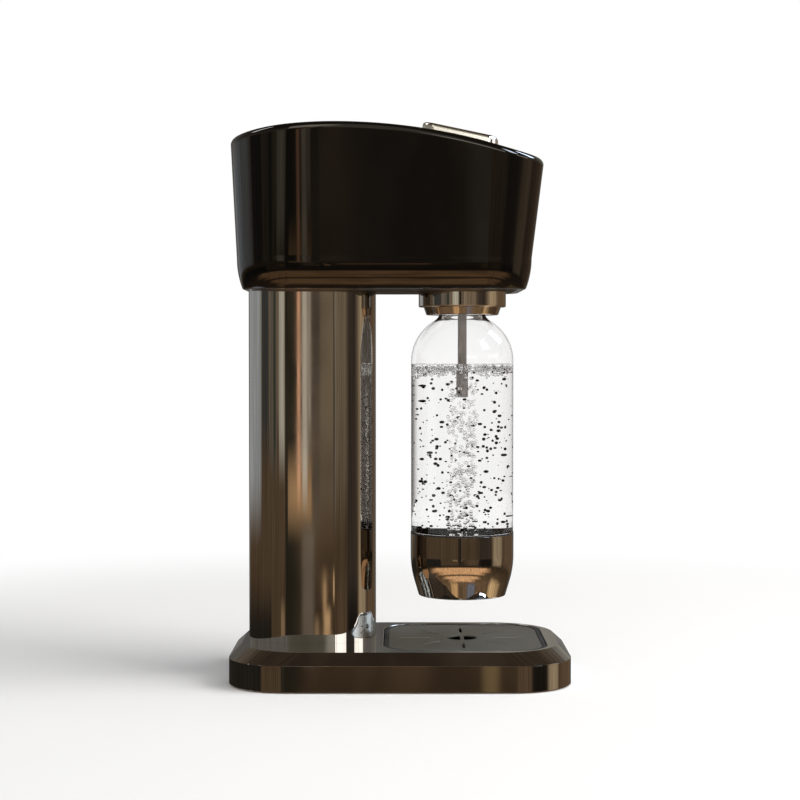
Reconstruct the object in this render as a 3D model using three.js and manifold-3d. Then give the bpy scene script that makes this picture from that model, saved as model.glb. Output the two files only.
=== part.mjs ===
// A sparkling water maker, in millimetres. X runs to the front, where the bottle hangs, and Z up.
// The origin is on the table, under the middle of the base.
import * as THREE from "three";
import { mergeVertices } from "three/addons/utils/BufferGeometryUtils.js";
import Module from "manifold-3d";

const wasm = await Module();
wasm.setup();

// Fits
const gap = 0.3;
const slideGap = 0.6;
const overrun = 2;
const weld = 0.0001;

// Counts of facets
const bigSteps = 32;
const midSteps = 24;
const smallSteps = 12;
const cornerSteps = 5;
const sideSteps = 6;
const filletSteps = 3;

// The CO2 cylinder and its valve
const cylinderRadius = 30;
const cylinderWall = 3;
const cylinderNeckRadius = 14;
const cylinderNeckHeight = 9;
const cylinderShoulderRise = 36;
const cylinderFootFillet = 6;
const cylinderBoreRadius = 8.5;
const cylinderFreeDrop = 12;
const cylinderRise = 21;
const valveHexRadius = 14.5;
const valveHexHeight = 7;
const valveThreadRadius = 10.5;
const valveThreadLength = 21;
const valveStemLength = 18;
const pinRadius = 2.1;
const pinLength = 17;
const pinProud = 1.5;
const pinTravelRoom = 2.6;

// The column, which is a stadium in plan and fits round the cylinder
const columnLength = 102;
const columnWall = 1.2;
const sleeveWall = 0.9;
const columnFootHeight = 18;
const columnHeadHeight = 28;

// The bottle, its foot cup and the neck
const bottleRadius = 41;
const bottleWall = 1.2;
const bottleHeight = 239.7;
const bottleShoulderRise = 38.5;
const neckRadius = 18.15;
const neckWall = 2.2;
const neckHeight = 13.2;
const bottleDimple = 7;
const cupProud = 0.4;
const cupWall = 1;
const cupHeight = 49.7;
const cupConeHeight = 22;
const cupFloorRadius = 34.8;
const cupFloorWall = 1.5;
const cupEdge = 1.2;

// How the main parts stand to each other
const bottleReach = 120.3;
const bottleGap = 34.3;
const neckBelowHead = 4;

// The base
const baseRearMargin = 12.65;
const baseFrontMargin = 18.55;
const baseWidth = 168;
const baseHeight = 30;
const baseUpright = 21;
const baseChamferInset = 9;
const baseEdge = 0.8;
const baseCornerRadius = 46;
const baseTopCornerRadius = 50;
const baseWall = 2.5;
const baseLift = 0.8;
const underplateThickness = 3;
const footRadius = 8;
const footSeat = 1.5;
const footInset = 27;
const bossRadius = 4.5;
const screwRadius = 1.7;
const screwHeadRadius = 3.4;
const screwHeadHeight = 2;
const screwLength = 12;
const screwInset = 44;
const screwEdgeMargin = 1.2;

// The drip dish and its slotted plate
const trayReach = 65.5;
const trayColumnGap = 6.3;
const traySideMargin = 16;
const trayDepth = 14;
const trayWall = 2;
const trayCornerRadius = 30;
const dishClearance = 0.5;
const dishRim = 3.5;
const dishLedge = 2.5;
const dishFloor = 2;
const grilleThickness = 1.7;
const grilleSink = 0.4;
const slotWidth = 2.3;
const slotStart = 25;
const slotMargin = 8.2;
const slotCount = 8;
const drainRadius = 12;
const drainBridge = 2.9;

// The head
const headWidth = 165;
const headTaper = 6.5;
const headRearTopMargin = 10.7;
const headRearLowMargin = 6.2;
const headFrontTopReach = 61.6;
const headFrontLowReach = 52.5;
const headRearRadius = 45;
const headFrontRadius = 42;
const headFilletReach = 8.5;
const headFilletRise = 24;
const headTopFillet = 4.5;
const headFrontArcRadius = 450;
const headRearArcRadius = 345;
const headPeakReach = 100;
const headCrown = 1.5;
const headroom = 24;
const headWall = 2.5;
const headSpineHalf = 8;
const undercoverThickness = 2.5;

// The chassis plate in the head
const chassisRise = 6;
const chassisThickness = 3;
const chassisMargin = 9.5;
const headBossHeight = 14;

// The valve block, a bell over the shoulder of the cylinder
const bellWall = 3;
const bellClearance = 5;
const bellRoof = 4;
const bellAboveHex = 1;
const hubRadius = 20;
const hubHeight = 33;
const sealHeight = 2.8;
const sealBoreRadius = 4;
const rodRadius = 3;
const rodCapRadius = 4.5;
const rodCapHeight = 4;

// The return spring round the push rod
const springLength = 12.4;
const springRadius = 6.8;
const springWire = 0.7;
const springTurns = 4;
const springTurnSteps = 8;
const springWireSides = 5;
const springEndGap = 0.55;

// The lever and its bracket
const leverWidth = 22;
const leverWall = 2.2;
const leverDepth = 10;
const pivotRise = 13;
const pivotEye = 6;
const pivotPinRadius = 2.5;
const bracketWall = 2.5;
const bracketLength = 14;

// The button on the head
const buttonRearReach = 32;
const buttonFrontReach = 28;
const buttonWidth = 40;
const buttonCornerRadius = 9;
const buttonEdge = 3.5;
const buttonWall = 2.2;
const buttonProud = 12;
const buttonSlope = 0.21;
const buttonSkirt = 16;
const buttonPlay = 0.9;
const buttonRibWall = 3;
const buttonRibInset = 14;

// The collar that holds the bottle, and the nozzle in it
const collarRadius = 35;
const collarHeight = 12.7;
const collarStepRadius = 31;
const collarStepLowRadius = 28.75;
const collarStepHeight = 6.3;
const collarLip = 2.3;
const threadRingRadius = 26;
const gasketHeight = 3;
const gasketBoreRadius = 12;
const nozzleBodyRadius = 23;
const nozzleBodyHeight = 35;
const nozzleEdge = 3;
const tubeRadius = 3.6;
const tubeBoreRadius = 1.6;
const tubeLength = 106;
const tubeSocket = 22;
const nutRadius = 8;
const nutHeight = 9;
const nutSides = 6;
const reliefRadius = 7;
const reliefHeight = 20;
const reliefCapRadius = 5;
const reliefCapHeight = 6;

// The gas hose and its two fittings
const fittingRadius = 5;
const fittingLength = 5;
const barbRadius = 3.4;
const barbLength = 6;
const hoseRadius = 3;
const hoseBend = 22;
const hoseSteps = 14;
const hoseSides = 10;
const hosePortDrop = 8;
const nozzlePortDrop = 14;

// Places along X
const columnRadius = cylinderRadius + slideGap + sleeveWall + gap + columnWall;
const baseLength = baseRearMargin + columnLength / 2 + bottleReach + trayReach + baseFrontMargin;
const baseRear = -baseLength / 2;
const columnRear = baseRear + baseRearMargin;
const columnX = columnRear + columnLength / 2;
const columnFront = columnX + columnLength / 2;
const bottleX = columnX + bottleReach;
const trayRear = columnFront + trayColumnGap;
const trayFront = bottleX + trayReach;
const trayHalf = baseWidth / 2 - traySideMargin;
const buttonRear = bottleX - buttonRearReach;
const buttonFront = bottleX + buttonFrontReach;

// Heights
const bottleLow = baseHeight + bottleGap;
const neckTop = bottleLow + bottleHeight;
const headUnder = neckTop + neckBelowHead;
const chassisLow = headUnder + chassisRise;
const chassisTop = chassisLow + chassisThickness;
const cylinderLow = baseLift + cylinderFreeDrop - gap;
const bellLow = chassisTop + gap;
const cylinderTop = chassisTop + cylinderRise;
const hexTop = cylinderTop + gap + valveHexHeight;
const valveTop = hexTop + valveThreadLength;
const hubLow = hexTop + bellAboveHex;
const hubTop = hubLow + hubHeight;
const leverLow = hubTop + gap + springLength + gap;
const leverTop = leverLow + leverDepth;
const pivotZ = leverLow + pivotRise;
const headPeak = pivotZ + pivotEye + headroom;
const bellInner = cylinderRadius + bellClearance;
const bellOuter = bellInner + bellWall;
const pivotReach = (hubRadius + bellOuter) / 2;
const pivotX = columnX - pivotReach;
const collarTop = chassisLow - gap;
const collarStepTop = headUnder - collarHeight;
const collarLow = collarStepTop - collarStepHeight;
const gasketLow = neckTop + gap;
const nozzleLow = gasketLow + gasketHeight + gap;

// A solid from a closed three.js geometry.
function solid(geometry) {
  const bare = geometry.index ? geometry.toNonIndexed() : geometry.clone();
  bare.deleteAttribute("normal");
  bare.deleteAttribute("uv");
  const merged = mergeVertices(bare, weld);
  const mesh = new wasm.Mesh({
    numProp: 3,
    vertProperties: merged.attributes.position.array,
    triVerts: new Uint32Array(merged.index.array),
  });
  return new wasm.Manifold(mesh);
}

// The geometry of a solid, ready for a mesh.
function geometryOf(body) {
  const mesh = body.getMesh();
  const geometry = new THREE.BufferGeometry();
  geometry.setAttribute("position", new THREE.BufferAttribute(mesh.vertProperties, mesh.numProp));
  geometry.setIndex(new THREE.BufferAttribute(mesh.triVerts, 1));
  geometry.computeVertexNormals();
  return geometry;
}

function join(first, ...others) {
  return others.reduce((body, other) => body.add(other), first);
}

function cut(first, ...tools) {
  return tools.reduce((body, tool) => body.subtract(tool), first);
}

// A flat outline stood up between two heights.
function prism(shape, low, high, steps = midSteps) {
  const settings = { depth: high - low, bevelEnabled: false, curveSegments: steps / 4 };
  return solid(new THREE.ExtrudeGeometry(shape, settings).translate(0, 0, low));
}

// A side view outline, X across and Z up, given a width that is centred on Y.
function sidePiece(shape, width) {
  const settings = { depth: width, bevelEnabled: false, curveSegments: smallSteps / 4 };
  const geometry = new THREE.ExtrudeGeometry(shape, settings);
  geometry.rotateX(Math.PI / 2);
  geometry.translate(0, width / 2, 0);
  return solid(geometry);
}

// An upright round bar.
function disc(radius, low, high, steps = bigSteps, x = 0, y = 0) {
  const geometry = new THREE.CylinderGeometry(radius, radius, high - low, steps);
  geometry.rotateX(Math.PI / 2);
  geometry.translate(x, y, (low + high) / 2);
  return solid(geometry);
}

// A round bar that lies along X, or along Y.
function barX(radius, rear, front, z, steps = smallSteps) {
  const geometry = new THREE.CylinderGeometry(radius, radius, front - rear, steps);
  geometry.rotateZ(-Math.PI / 2);
  geometry.translate((rear + front) / 2, 0, z);
  return solid(geometry);
}

function barY(radius, half, x, z, steps = smallSteps) {
  const geometry = new THREE.CylinderGeometry(radius, radius, half * 2, steps);
  geometry.translate(x, 0, z);
  return solid(geometry);
}

function block(rear, front, half, low, high) {
  const geometry = new THREE.BoxGeometry(front - rear, half * 2, high - low);
  geometry.translate((rear + front) / 2, 0, (low + high) / 2);
  return solid(geometry);
}

// A profile of radius and height turned about the upright axis.
function turned(profile, steps = bigSteps) {
  const points = profile.map(([radius, height]) => new THREE.Vector2(radius, height));
  const geometry = new THREE.LatheGeometry(points, steps);
  geometry.rotateX(Math.PI / 2);
  return solid(geometry);
}

// Two half circles joined by straight sides.
function stadium(length, radius, x = 0) {
  const reach = length / 2 - radius;
  const shape = new THREE.Shape();
  shape.absarc(x + reach, 0, radius, -Math.PI / 2, Math.PI / 2);
  shape.absarc(x - reach, 0, radius, Math.PI / 2, (Math.PI * 3) / 2);
  shape.closePath();
  return shape;
}

// A rounded oblong in plan, which may have other corners at the rear than at the front. Only an
// outline under a curved top needs points along its sides.
function plan(rear, front, half, rearRadius, frontRadius = rearRadius, sides = 1) {
  return { rear, front, half, rearRadius, frontRadius, sides };
}

function insetPlan(outline, by) {
  return plan(
    outline.rear + by,
    outline.front - by,
    outline.half - by,
    Math.max(outline.rearRadius - by, gap),
    Math.max(outline.frontRadius - by, gap),
    outline.sides,
  );
}

function blendPlan(low, high, share) {
  const mix = (name) => low[name] + (high[name] - low[name]) * share;
  return plan(mix("rear"), mix("front"), mix("half"), mix("rearRadius"), mix("frontRadius"), low.sides);
}

// The points of one side of a plan outline, from the rear middle round to the front middle.
function halfOutline(outline) {
  const { rear, front, half, rearRadius, frontRadius, sides } = outline;
  const points = [new THREE.Vector2(rear, (half - rearRadius) / 2)];
  for (let i = 0; i <= cornerSteps; i++) {
    const turn = (Math.PI / 2) * (i / cornerSteps);
    const x = rear + rearRadius * (1 - Math.cos(turn));
    points.push(new THREE.Vector2(x, half - rearRadius * (1 - Math.sin(turn))));
  }
  for (let i = 1; i < sides; i++) {
    const along = (front - frontRadius - rear - rearRadius) * (i / sides);
    points.push(new THREE.Vector2(rear + rearRadius + along, half));
  }
  for (let i = 0; i <= cornerSteps; i++) {
    const turn = (Math.PI / 2) * (i / cornerSteps);
    const x = front - frontRadius * (1 - Math.sin(turn));
    points.push(new THREE.Vector2(x, half - frontRadius * (1 - Math.cos(turn))));
  }
  points.push(new THREE.Vector2(front, (half - frontRadius) / 2));
  return points;
}

// A whole outline at one height, or at a height that depends on the place.
function ring(outline, height) {
  const side = halfOutline(outline);
  const farSide = side.map((point) => new THREE.Vector2(point.x, -point.y)).reverse();
  return [...side, ...farSide].map((point) => {
    const z = typeof height === "function" ? height(point.x, point.y) : height;
    return new THREE.Vector3(point.x, point.y, z);
  });
}

// A skin through rings from the lowest up, closed across the first and the last ring.
function loft(rings) {
  const count = rings[0].length;
  const faces = [];
  for (let level = 1; level < rings.length; level++) {
    const low = (level - 1) * count;
    const high = level * count;
    for (let i = 0; i < count; i++) {
      const next = (i + 1) % count;
      faces.push(low + i, high + i, high + next);
      faces.push(low + i, high + next, low + next);
    }
  }
  const top = (rings.length - 1) * count;
  for (let i = 0; i < count / 2 - 1; i++) {
    const across = count - 1 - i;
    faces.push(i, across - 1, across);
    faces.push(i, i + 1, across - 1);
    faces.push(top + i, top + across, top + across - 1);
    faces.push(top + i, top + across - 1, top + i + 1);
  }
  const geometry = new THREE.BufferGeometry();
  const places = rings.flat().flatMap((point) => [point.x, point.y, point.z]);
  geometry.setAttribute("position", new THREE.Float32BufferAttribute(places, 3));
  geometry.setIndex(faces);
  return solid(geometry);
}

function slab(outline, low, high) {
  return loft([ring(outline, low), ring(outline, high)]);
}

function finish(colour, roughness, metalness) {
  return new THREE.MeshStandardMaterial({ color: colour, roughness, metalness });
}

const darkGloss = finish(0x14120e, 0.08, 0.4);
const blackChrome = finish(0x3a332b, 0.12, 1);
const nickel = finish(0xb9ad9b, 0.25, 1);
const bronzeGrey = finish(0x5a584b, 0.45, 1);
const blackPlastic = finish(0x1b1b1b, 0.6, 0);
const clearPlastic = finish(0xe8ecec, 0.05, 0);
const brass = finish(0xb08d4a, 0.35, 1);
const steel = finish(0x9a9a98, 0.35, 1);
const rubber = finish(0x151515, 0.9, 0);
const aluminium = finish(0xa8acb0, 0.4, 1);
const tubeGrey = finish(0x8a857c, 0.4, 0);

function addPiece(group, name, body, material) {
  const mesh = new THREE.Mesh(geometryOf(body), material);
  mesh.name = name;
  group.add(mesh);
  return mesh;
}

// The base: an upright wall, a broad chamfer and a flat top.
const basePlan = plan(baseRear, -baseRear, baseWidth / 2, baseCornerRadius);
const baseTopPlan = plan(
  baseRear + baseChamferInset,
  -baseRear - baseChamferInset,
  baseWidth / 2 - baseChamferInset,
  baseTopCornerRadius,
);
const trayPlan = plan(trayRear, trayFront, trayHalf, trayCornerRadius);
const dishPlan = insetPlan(trayPlan, dishClearance);
const grillePlan = insetPlan(dishPlan, dishRim + gap);
const baseBossHalf = baseWidth / 2 - baseWall - baseEdge - screwHeadRadius - gap * 2 - screwEdgeMargin;
const bossPlaces = cornerPlaces(baseRear + screwInset, -baseRear - screwInset, baseBossHalf);
const footPlaces = cornerPlaces(baseRear + footInset, -baseRear - footInset, baseWidth / 2 - footInset);

function cornerPlaces(rear, front, half) {
  return [
    [rear, half],
    [rear, -half],
    [front, half],
    [front, -half],
  ];
}

function baseSkin(offset, low) {
  const upright = baseUpright - offset / 2;
  const top = baseHeight - offset;
  const softShare = baseEdge / baseChamferInset;
  const chamferAt = (share) => insetPlan(blendPlan(basePlan, baseTopPlan, share), offset);
  return loft([
    ring(insetPlan(basePlan, offset + baseEdge), low),
    ring(insetPlan(basePlan, offset), low + baseEdge),
    ring(insetPlan(basePlan, offset), upright),
    ring(chamferAt(softShare / 2), upright + baseEdge),
    ring(chamferAt(1 - softShare), top - baseEdge / 2),
    ring(chamferAt(1), top),
  ]);
}

// A screw boss that a web ties to the wall beside it.
function wallBoss(x, y, wallAt, low, high) {
  const web = block(x - bossRadius / 2, x + bossRadius / 2, (wallAt - Math.abs(y)) / 2, low, high);
  const middle = (Math.sign(y) * (wallAt + Math.abs(y))) / 2;
  return join(disc(bossRadius, low, high, smallSteps, x, y), web.translate([0, middle, 0]));
}

// The cover of the base is open below, with a window over the dish seat and a hole for the cylinder.
function makeBaseShell() {
  const bossLow = baseLift + underplateThickness + gap;
  const wallAt = baseWidth / 2 - baseWall / 2;
  const screwTip = baseLift + screwHeadHeight + screwLength + gap;
  let body = baseSkin(0, baseLift);
  body = cut(body, baseSkin(baseWall, baseLift - overrun));
  for (const [x, y] of bossPlaces) {
    body = join(body, wallBoss(x, y, wallAt, bossLow, baseUpright - baseWall));
    body = cut(body, disc(screwRadius + gap, baseLift, screwTip, smallSteps, x, y));
  }
  body = cut(body, slab(trayPlan, baseHeight - baseWall - overrun, baseHeight + overrun));
  return cut(body, disc(cylinderRadius + slideGap, baseLift, baseHeight + overrun, midSteps, columnX));
}

// A tub that hangs under the cover and takes the drip dish. The cover trims its corners.
function makeDishSeat() {
  const floor = baseHeight - trayDepth;
  const outer = slab(insetPlan(trayPlan, -trayWall), floor - trayWall, baseHeight);
  const seat = outer.intersect(baseSkin(baseWall + gap, baseLift));
  return cut(seat, slab(trayPlan, floor, baseHeight + overrun));
}

function makeBasePlate() {
  const top = baseLift + underplateThickness;
  let body = slab(insetPlan(basePlan, baseWall + gap + baseEdge), baseLift, top);
  body = cut(body, disc(cylinderRadius + slideGap, baseLift - overrun, top + overrun, midSteps, columnX));
  for (const [x, y] of bossPlaces) {
    body = cut(body, disc(screwRadius + gap, baseLift - overrun, top + overrun, smallSteps, x, y));
    const sinkTop = baseLift + screwHeadHeight;
    const sunk = disc(screwHeadRadius + gap, baseLift - overrun, sinkTop, smallSteps, x, y);
    body = cut(body, sunk);
  }
  for (const [x, y] of footPlaces) {
    const seatTop = baseLift + footSeat + gap;
    body = cut(body, disc(footRadius + gap, baseLift - overrun, seatTop, smallSteps, x, y));
  }
  return body;
}

function makeFoot() {
  return disc(footRadius, 0, baseLift + footSeat, smallSteps);
}

// A screw that stands on its head, with its head underside at height zero.
function makeScrew(length) {
  return join(
    disc(screwHeadRadius, -screwHeadHeight, 0, smallSteps),
    disc(screwRadius, -screwHeadHeight / 2, length, smallSteps),
  );
}

// The drip dish has a rim, a ledge for the slotted plate and a well.
function makeDripDish() {
  const low = baseHeight - trayDepth + gap;
  const top = baseHeight - gap;
  const ledge = top - grilleSink - grilleThickness - gap;
  const body = slab(dishPlan, low, top);
  const seat = slab(insetPlan(dishPlan, dishRim), ledge, top + overrun);
  const well = slab(insetPlan(dishPlan, dishRim + dishLedge), low + dishFloor, top + overrun);
  return cut(body, seat, well);
}

function slotOutline(start, end, width, turn) {
  const radius = width / 2;
  const shape = new THREE.Shape();
  const middle = new THREE.Vector2(Math.cos(turn), Math.sin(turn));
  const inner = middle.clone().multiplyScalar(start + radius);
  const outer = middle.clone().multiplyScalar(end - radius);
  shape.absarc(bottleX + outer.x, outer.y, radius, turn - Math.PI / 2, turn + Math.PI / 2);
  shape.absarc(bottleX + inner.x, inner.y, radius, turn + Math.PI / 2, turn + (Math.PI * 3) / 2);
  shape.closePath();
  return shape;
}

function makeDripGrille() {
  const top = baseHeight - gap - grilleSink;
  const low = top - grilleThickness;
  const spare = Math.min(bottleX - grillePlan.rear, grillePlan.front - bottleX, grillePlan.half);
  let body = slab(grillePlan, low, top);
  for (let i = 0; i < slotCount; i++) {
    const turn = (Math.PI * 2 * i) / slotCount;
    const outline = slotOutline(slotStart, spare - slotMargin, slotWidth, turn);
    body = cut(body, prism(outline, low - overrun, top + overrun, smallSteps));
  }
  const drain = disc(drainRadius, low - overrun, top + overrun, bigSteps, bottleX);
  const bridgeRear = bottleX - drainBridge / 2;
  const bridge = block(bridgeRear, bridgeRear + drainBridge, drainRadius * 2, low - overrun, top + overrun);
  return cut(body, cut(drain, bridge));
}

// The column is a thin stadium tube with a guide block at each end.
function makeColumnShell() {
  const low = baseHeight + gap;
  const outer = prism(stadium(columnLength, columnRadius), low, collarTop, bigSteps);
  const inner = stadium(columnLength - columnWall * 2, columnRadius - columnWall);
  return cut(outer, prism(inner, low - overrun, collarTop + overrun, bigSteps));
}

function makeGuide(low, high) {
  const play = columnWall + gap;
  const body = prism(stadium(columnLength - play * 2, columnRadius - play), low, high);
  return cut(body, disc(cylinderRadius + slideGap, low - overrun, high + overrun, midSteps));
}

// Plans of the head where its walls start above the lower fillet, and where they meet the top.
const headLowPlan = plan(
  columnRear - headRearLowMargin,
  bottleX + headFrontLowReach,
  headWidth / 2 - headTaper,
  headRearRadius - headTaper,
  headFrontRadius - headTaper,
  sideSteps,
);
const headTopPlan = plan(
  columnRear - headRearTopMargin,
  bottleX + headFrontTopReach,
  headWidth / 2,
  headRearRadius,
  headFrontRadius,
  sideSteps,
);

// The height of the top: a long arc to the front and a rounder one to the rear, from the same peak.
// It also falls a little to the sides.
function headTopAt(x, y) {
  const along = x - (bottleX - headPeakReach);
  const radius = along > 0 ? headFrontArcRadius : headRearArcRadius;
  const fall = radius - Math.sqrt(radius ** 2 - along ** 2);
  return headPeak - fall - headCrown * (y / (headWidth / 2)) ** 2;
}

// The lower fillet, as shares of its reach inwards and of its rise: tight at the rim, then gentle.
const headFilletShares = [
  [1, 0],
  [0.62, 0.03],
  [0.45, 0.12],
  [0.2, 0.4],
  [0, 1],
];

// The skin of the head: a lower fillet, leaning walls, an upper fillet and the arched top.
function headSkin(offset, openBelow) {
  const low = headUnder + offset;
  const rings = [];
  if (openBelow) {
    rings.push(ring(insetPlan(headLowPlan, offset + headFilletReach), headUnder - overrun));
  }
  for (const [insetShare, riseShare] of headFilletShares) {
    const outline = insetPlan(headLowPlan, offset + headFilletReach * insetShare);
    rings.push(ring(outline, low + headFilletRise * riseShare));
  }
  const wallFoot = low + headFilletRise;
  const wallShare = 0.5;
  const wallHeight = (x, y) => wallFoot + (headTopAt(x, y) - offset - headTopFillet - wallFoot) * wallShare;
  rings.push(ring(insetPlan(blendPlan(headLowPlan, headTopPlan, wallShare), offset), wallHeight));
  for (let i = 0; i <= filletSteps; i++) {
    const turn = (Math.PI / 2) * (i / filletSteps);
    const inset = offset + headTopFillet * (1 - Math.cos(turn));
    const drop = offset + headTopFillet * (1 - Math.sin(turn));
    rings.push(ring(insetPlan(headTopPlan, inset), (x, y) => headTopAt(x, y) - drop));
  }
  const spineInset = headWidth / 2 - headSpineHalf;
  const topShares = [0.5, 1];
  for (const share of topShares) {
    rings.push(ring(insetPlan(headTopPlan, spineInset * share), (x, y) => headTopAt(x, y) - offset));
  }
  return loft(rings);
}

const chassisPlan = insetPlan(headLowPlan, chassisMargin);
const undercoverPlan = insetPlan(headLowPlan, headFilletReach + headWall + gap);
const headScrewPlaces = cornerPlaces(
  chassisPlan.rear + chassisPlan.rearRadius,
  chassisPlan.front - chassisPlan.frontRadius,
  chassisPlan.half - bossRadius - gap,
);
const buttonPlan = plan(buttonRear, buttonFront, buttonWidth / 2, buttonCornerRadius);

function makeHeadShell() {
  let body = cut(headSkin(0, false), headSkin(headWall, true));
  body = cut(body, slab(insetPlan(buttonPlan, -buttonPlay), leverTop, headPeak + overrun));
  const columnNotch = stadium(columnLength + gap * 2, columnRadius + gap, columnX);
  body = cut(body, prism(columnNotch, headUnder - overrun, chassisLow, bigSteps));
  const low = chassisTop + gap;
  const high = low + headBossHeight;
  const wallAt = headWidth / 2 - headTaper - headWall;
  for (const [x, y] of headScrewPlaces) {
    body = join(body, wallBoss(x, y, wallAt, low, high));
    body = cut(body, disc(screwRadius + gap, low - overrun, high - screwHeadHeight, smallSteps, x, y));
  }
  return body;
}

function makeUndercover() {
  const top = headUnder + undercoverThickness;
  const body = slab(undercoverPlan, headUnder, top);
  const columnHole = stadium(columnLength + gap * 2, columnRadius + gap, columnX);
  return cut(
    body,
    prism(columnHole, headUnder - overrun, top + overrun, bigSteps),
    disc(collarRadius + gap, headUnder - overrun, top + overrun, bigSteps, bottleX),
  );
}

function makeChassis() {
  const low = chassisLow - overrun;
  const high = chassisTop + overrun;
  let body = slab(chassisPlan, chassisLow, chassisTop);
  body = cut(body, disc(cylinderRadius + slideGap, low, high, midSteps, columnX));
  body = cut(body, disc(neckRadius + gap * 2, low, high, midSteps, bottleX));
  for (const [x, y] of headScrewPlaces) {
    body = cut(body, disc(screwRadius + gap, low, high, smallSteps, x, y));
  }
  return body;
}

// The cylinder: a flat foot, a straight body, a domed shoulder and an open neck.
function makeCylinderBottle() {
  const shoulderFoot = cylinderTop - cylinderNeckHeight - cylinderShoulderRise;
  const innerRadius = cylinderRadius - cylinderWall;
  const outer = [
    [0, cylinderLow],
    [cylinderRadius - cylinderFootFillet, cylinderLow],
    [cylinderRadius, cylinderLow + cylinderFootFillet],
  ];
  const inner = [
    [cylinderBoreRadius, cylinderTop],
    [cylinderBoreRadius, shoulderFoot + cylinderShoulderRise - cylinderWall],
  ];
  const domeSteps = filletSteps + 2;
  for (let i = 0; i <= domeSteps; i++) {
    const turn = (Math.PI / 2) * (i / domeSteps);
    const spread = cylinderRadius - cylinderNeckRadius;
    const radius = cylinderNeckRadius + spread * Math.cos(turn);
    outer.push([radius, shoulderFoot + cylinderShoulderRise * Math.sin(turn)]);
    const innerSpread = innerRadius - cylinderBoreRadius;
    const back = Math.PI / 2 - turn;
    if (i > 0) {
      const rise = (cylinderShoulderRise - cylinderWall) * Math.sin(back);
      inner.push([cylinderBoreRadius + innerSpread * Math.cos(back), shoulderFoot + rise]);
    }
  }
  outer.push([cylinderNeckRadius, cylinderTop]);
  inner.push([innerRadius, cylinderLow + cylinderFootFillet + cylinderWall]);
  inner.push([innerRadius - cylinderFootFillet, cylinderLow + cylinderWall * 2]);
  inner.push([0, cylinderLow + cylinderWall * 2]);
  return turned([...outer, ...inner], midSteps);
}

function makeCylinderValve() {
  const stemRadius = cylinderBoreRadius - gap;
  const hexLow = cylinderTop + gap;
  const pinBoreLow = valveTop + pinProud - pinLength - pinTravelRoom;
  const hex = disc(valveHexRadius, hexLow, hexTop, nutSides);
  const stem = disc(stemRadius, cylinderTop - valveStemLength, hexLow + gap, smallSteps);
  const thread = disc(valveThreadRadius, hexTop - gap, valveTop, midSteps);
  const bore = disc(pinRadius + gap, pinBoreLow, valveTop + overrun, smallSteps);
  return cut(join(hex, stem, thread), bore);
}

function makeValvePin() {
  const top = valveTop + pinProud;
  return disc(pinRadius, top - pinLength, top, smallSteps);
}

// The bell stands on the chassis, and its hub takes the thread of the cylinder valve.
function makeValveBlock() {
  const socket = valveThreadRadius + gap;
  const chamberTop = valveTop + gap + sealHeight + gap;
  const roofTop = hubLow + bellRoof;
  return turned([
    [bellInner, bellLow],
    [bellOuter, bellLow],
    [bellOuter, roofTop - bellWall],
    [bellOuter - bellWall, roofTop],
    [hubRadius, roofTop],
    [hubRadius, hubTop - bellWall],
    [hubRadius - bellWall, hubTop],
    [rodRadius + gap, hubTop],
    [rodRadius + gap, chamberTop],
    [socket, chamberTop],
    [socket, hubLow],
    [bellInner, hubLow],
    [bellInner, bellLow],
  ], midSteps);
}

function makeCylinderSeal() {
  const low = valveTop + gap;
  return cut(
    disc(valveThreadRadius, low, low + sealHeight, midSteps),
    disc(sealBoreRadius, low - overrun, low + sealHeight + overrun, smallSteps),
  );
}

function makePushRod() {
  const low = valveTop + pinProud + gap;
  const top = leverLow - gap;
  return turned(
    [
      [0, low],
      [rodRadius, low],
      [rodRadius, top - rodCapHeight],
      [rodCapRadius, top - rodCapHeight],
      [rodCapRadius, top - rodCapHeight / 4],
      [rodRadius, top],
      [0, top],
    ],
    smallSteps,
  );
}

// The wire of the spring on its helix, with each end turn drawn in.
function springCentre(share) {
  const turns = springTurns * share;
  const active = springTurns - 2;
  const free = springLength - springWire * 2;
  const pinched = springWire * 2 + springEndGap;
  const steep = (free - pinched * 2) / active;
  let height = pinched * Math.min(turns, 1);
  height += steep * Math.min(Math.max(turns - 1, 0), active);
  height += pinched * Math.max(turns - 1 - active, 0);
  const turn = turns * Math.PI * 2;
  return new THREE.Vector3(
    springRadius * Math.cos(turn),
    springRadius * Math.sin(turn),
    hubTop + gap + springWire + height,
  );
}

function makeLeverSpring() {
  const steps = springTurns * springTurnSteps;
  const places = [];
  const faces = [];
  const centres = [];
  for (let i = 0; i <= steps; i++) {
    const centre = springCentre(i / steps);
    const turn = (i / steps) * springTurns * Math.PI * 2;
    centres.push(centre);
    for (let j = 0; j < springWireSides; j++) {
      const side = (j / springWireSides) * Math.PI * 2;
      const out = springWire * Math.cos(side);
      places.push(
        centre.x + out * Math.cos(turn),
        centre.y + out * Math.sin(turn),
        centre.z + springWire * Math.sin(side),
      );
    }
  }
  for (let i = 0; i < steps; i++) {
    for (let j = 0; j < springWireSides; j++) {
      const next = (j + 1) % springWireSides;
      const near = i * springWireSides;
      const far = near + springWireSides;
      faces.push(near + j, far + j, far + next);
      faces.push(near + j, far + next, near + next);
    }
  }
  const last = steps * springWireSides;
  for (let j = 1; j < springWireSides - 1; j++) {
    faces.push(0, j, j + 1);
    faces.push(last, last + j + 1, last + j);
  }
  let least = Infinity;
  for (let i = 0; i <= steps; i++) {
    for (let j = i + springTurnSteps / 2; j <= steps; j++) {
      least = Math.min(least, centres[i].distanceTo(centres[j]) - springWire * 2);
    }
  }
  console.log("lever spring, least gap to itself: " + least.toFixed(2) + " mm");
  const geometry = new THREE.BufferGeometry();
  geometry.setAttribute("position", new THREE.Float32BufferAttribute(places, 3));
  geometry.setIndex(faces);
  return solid(geometry);
}

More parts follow.
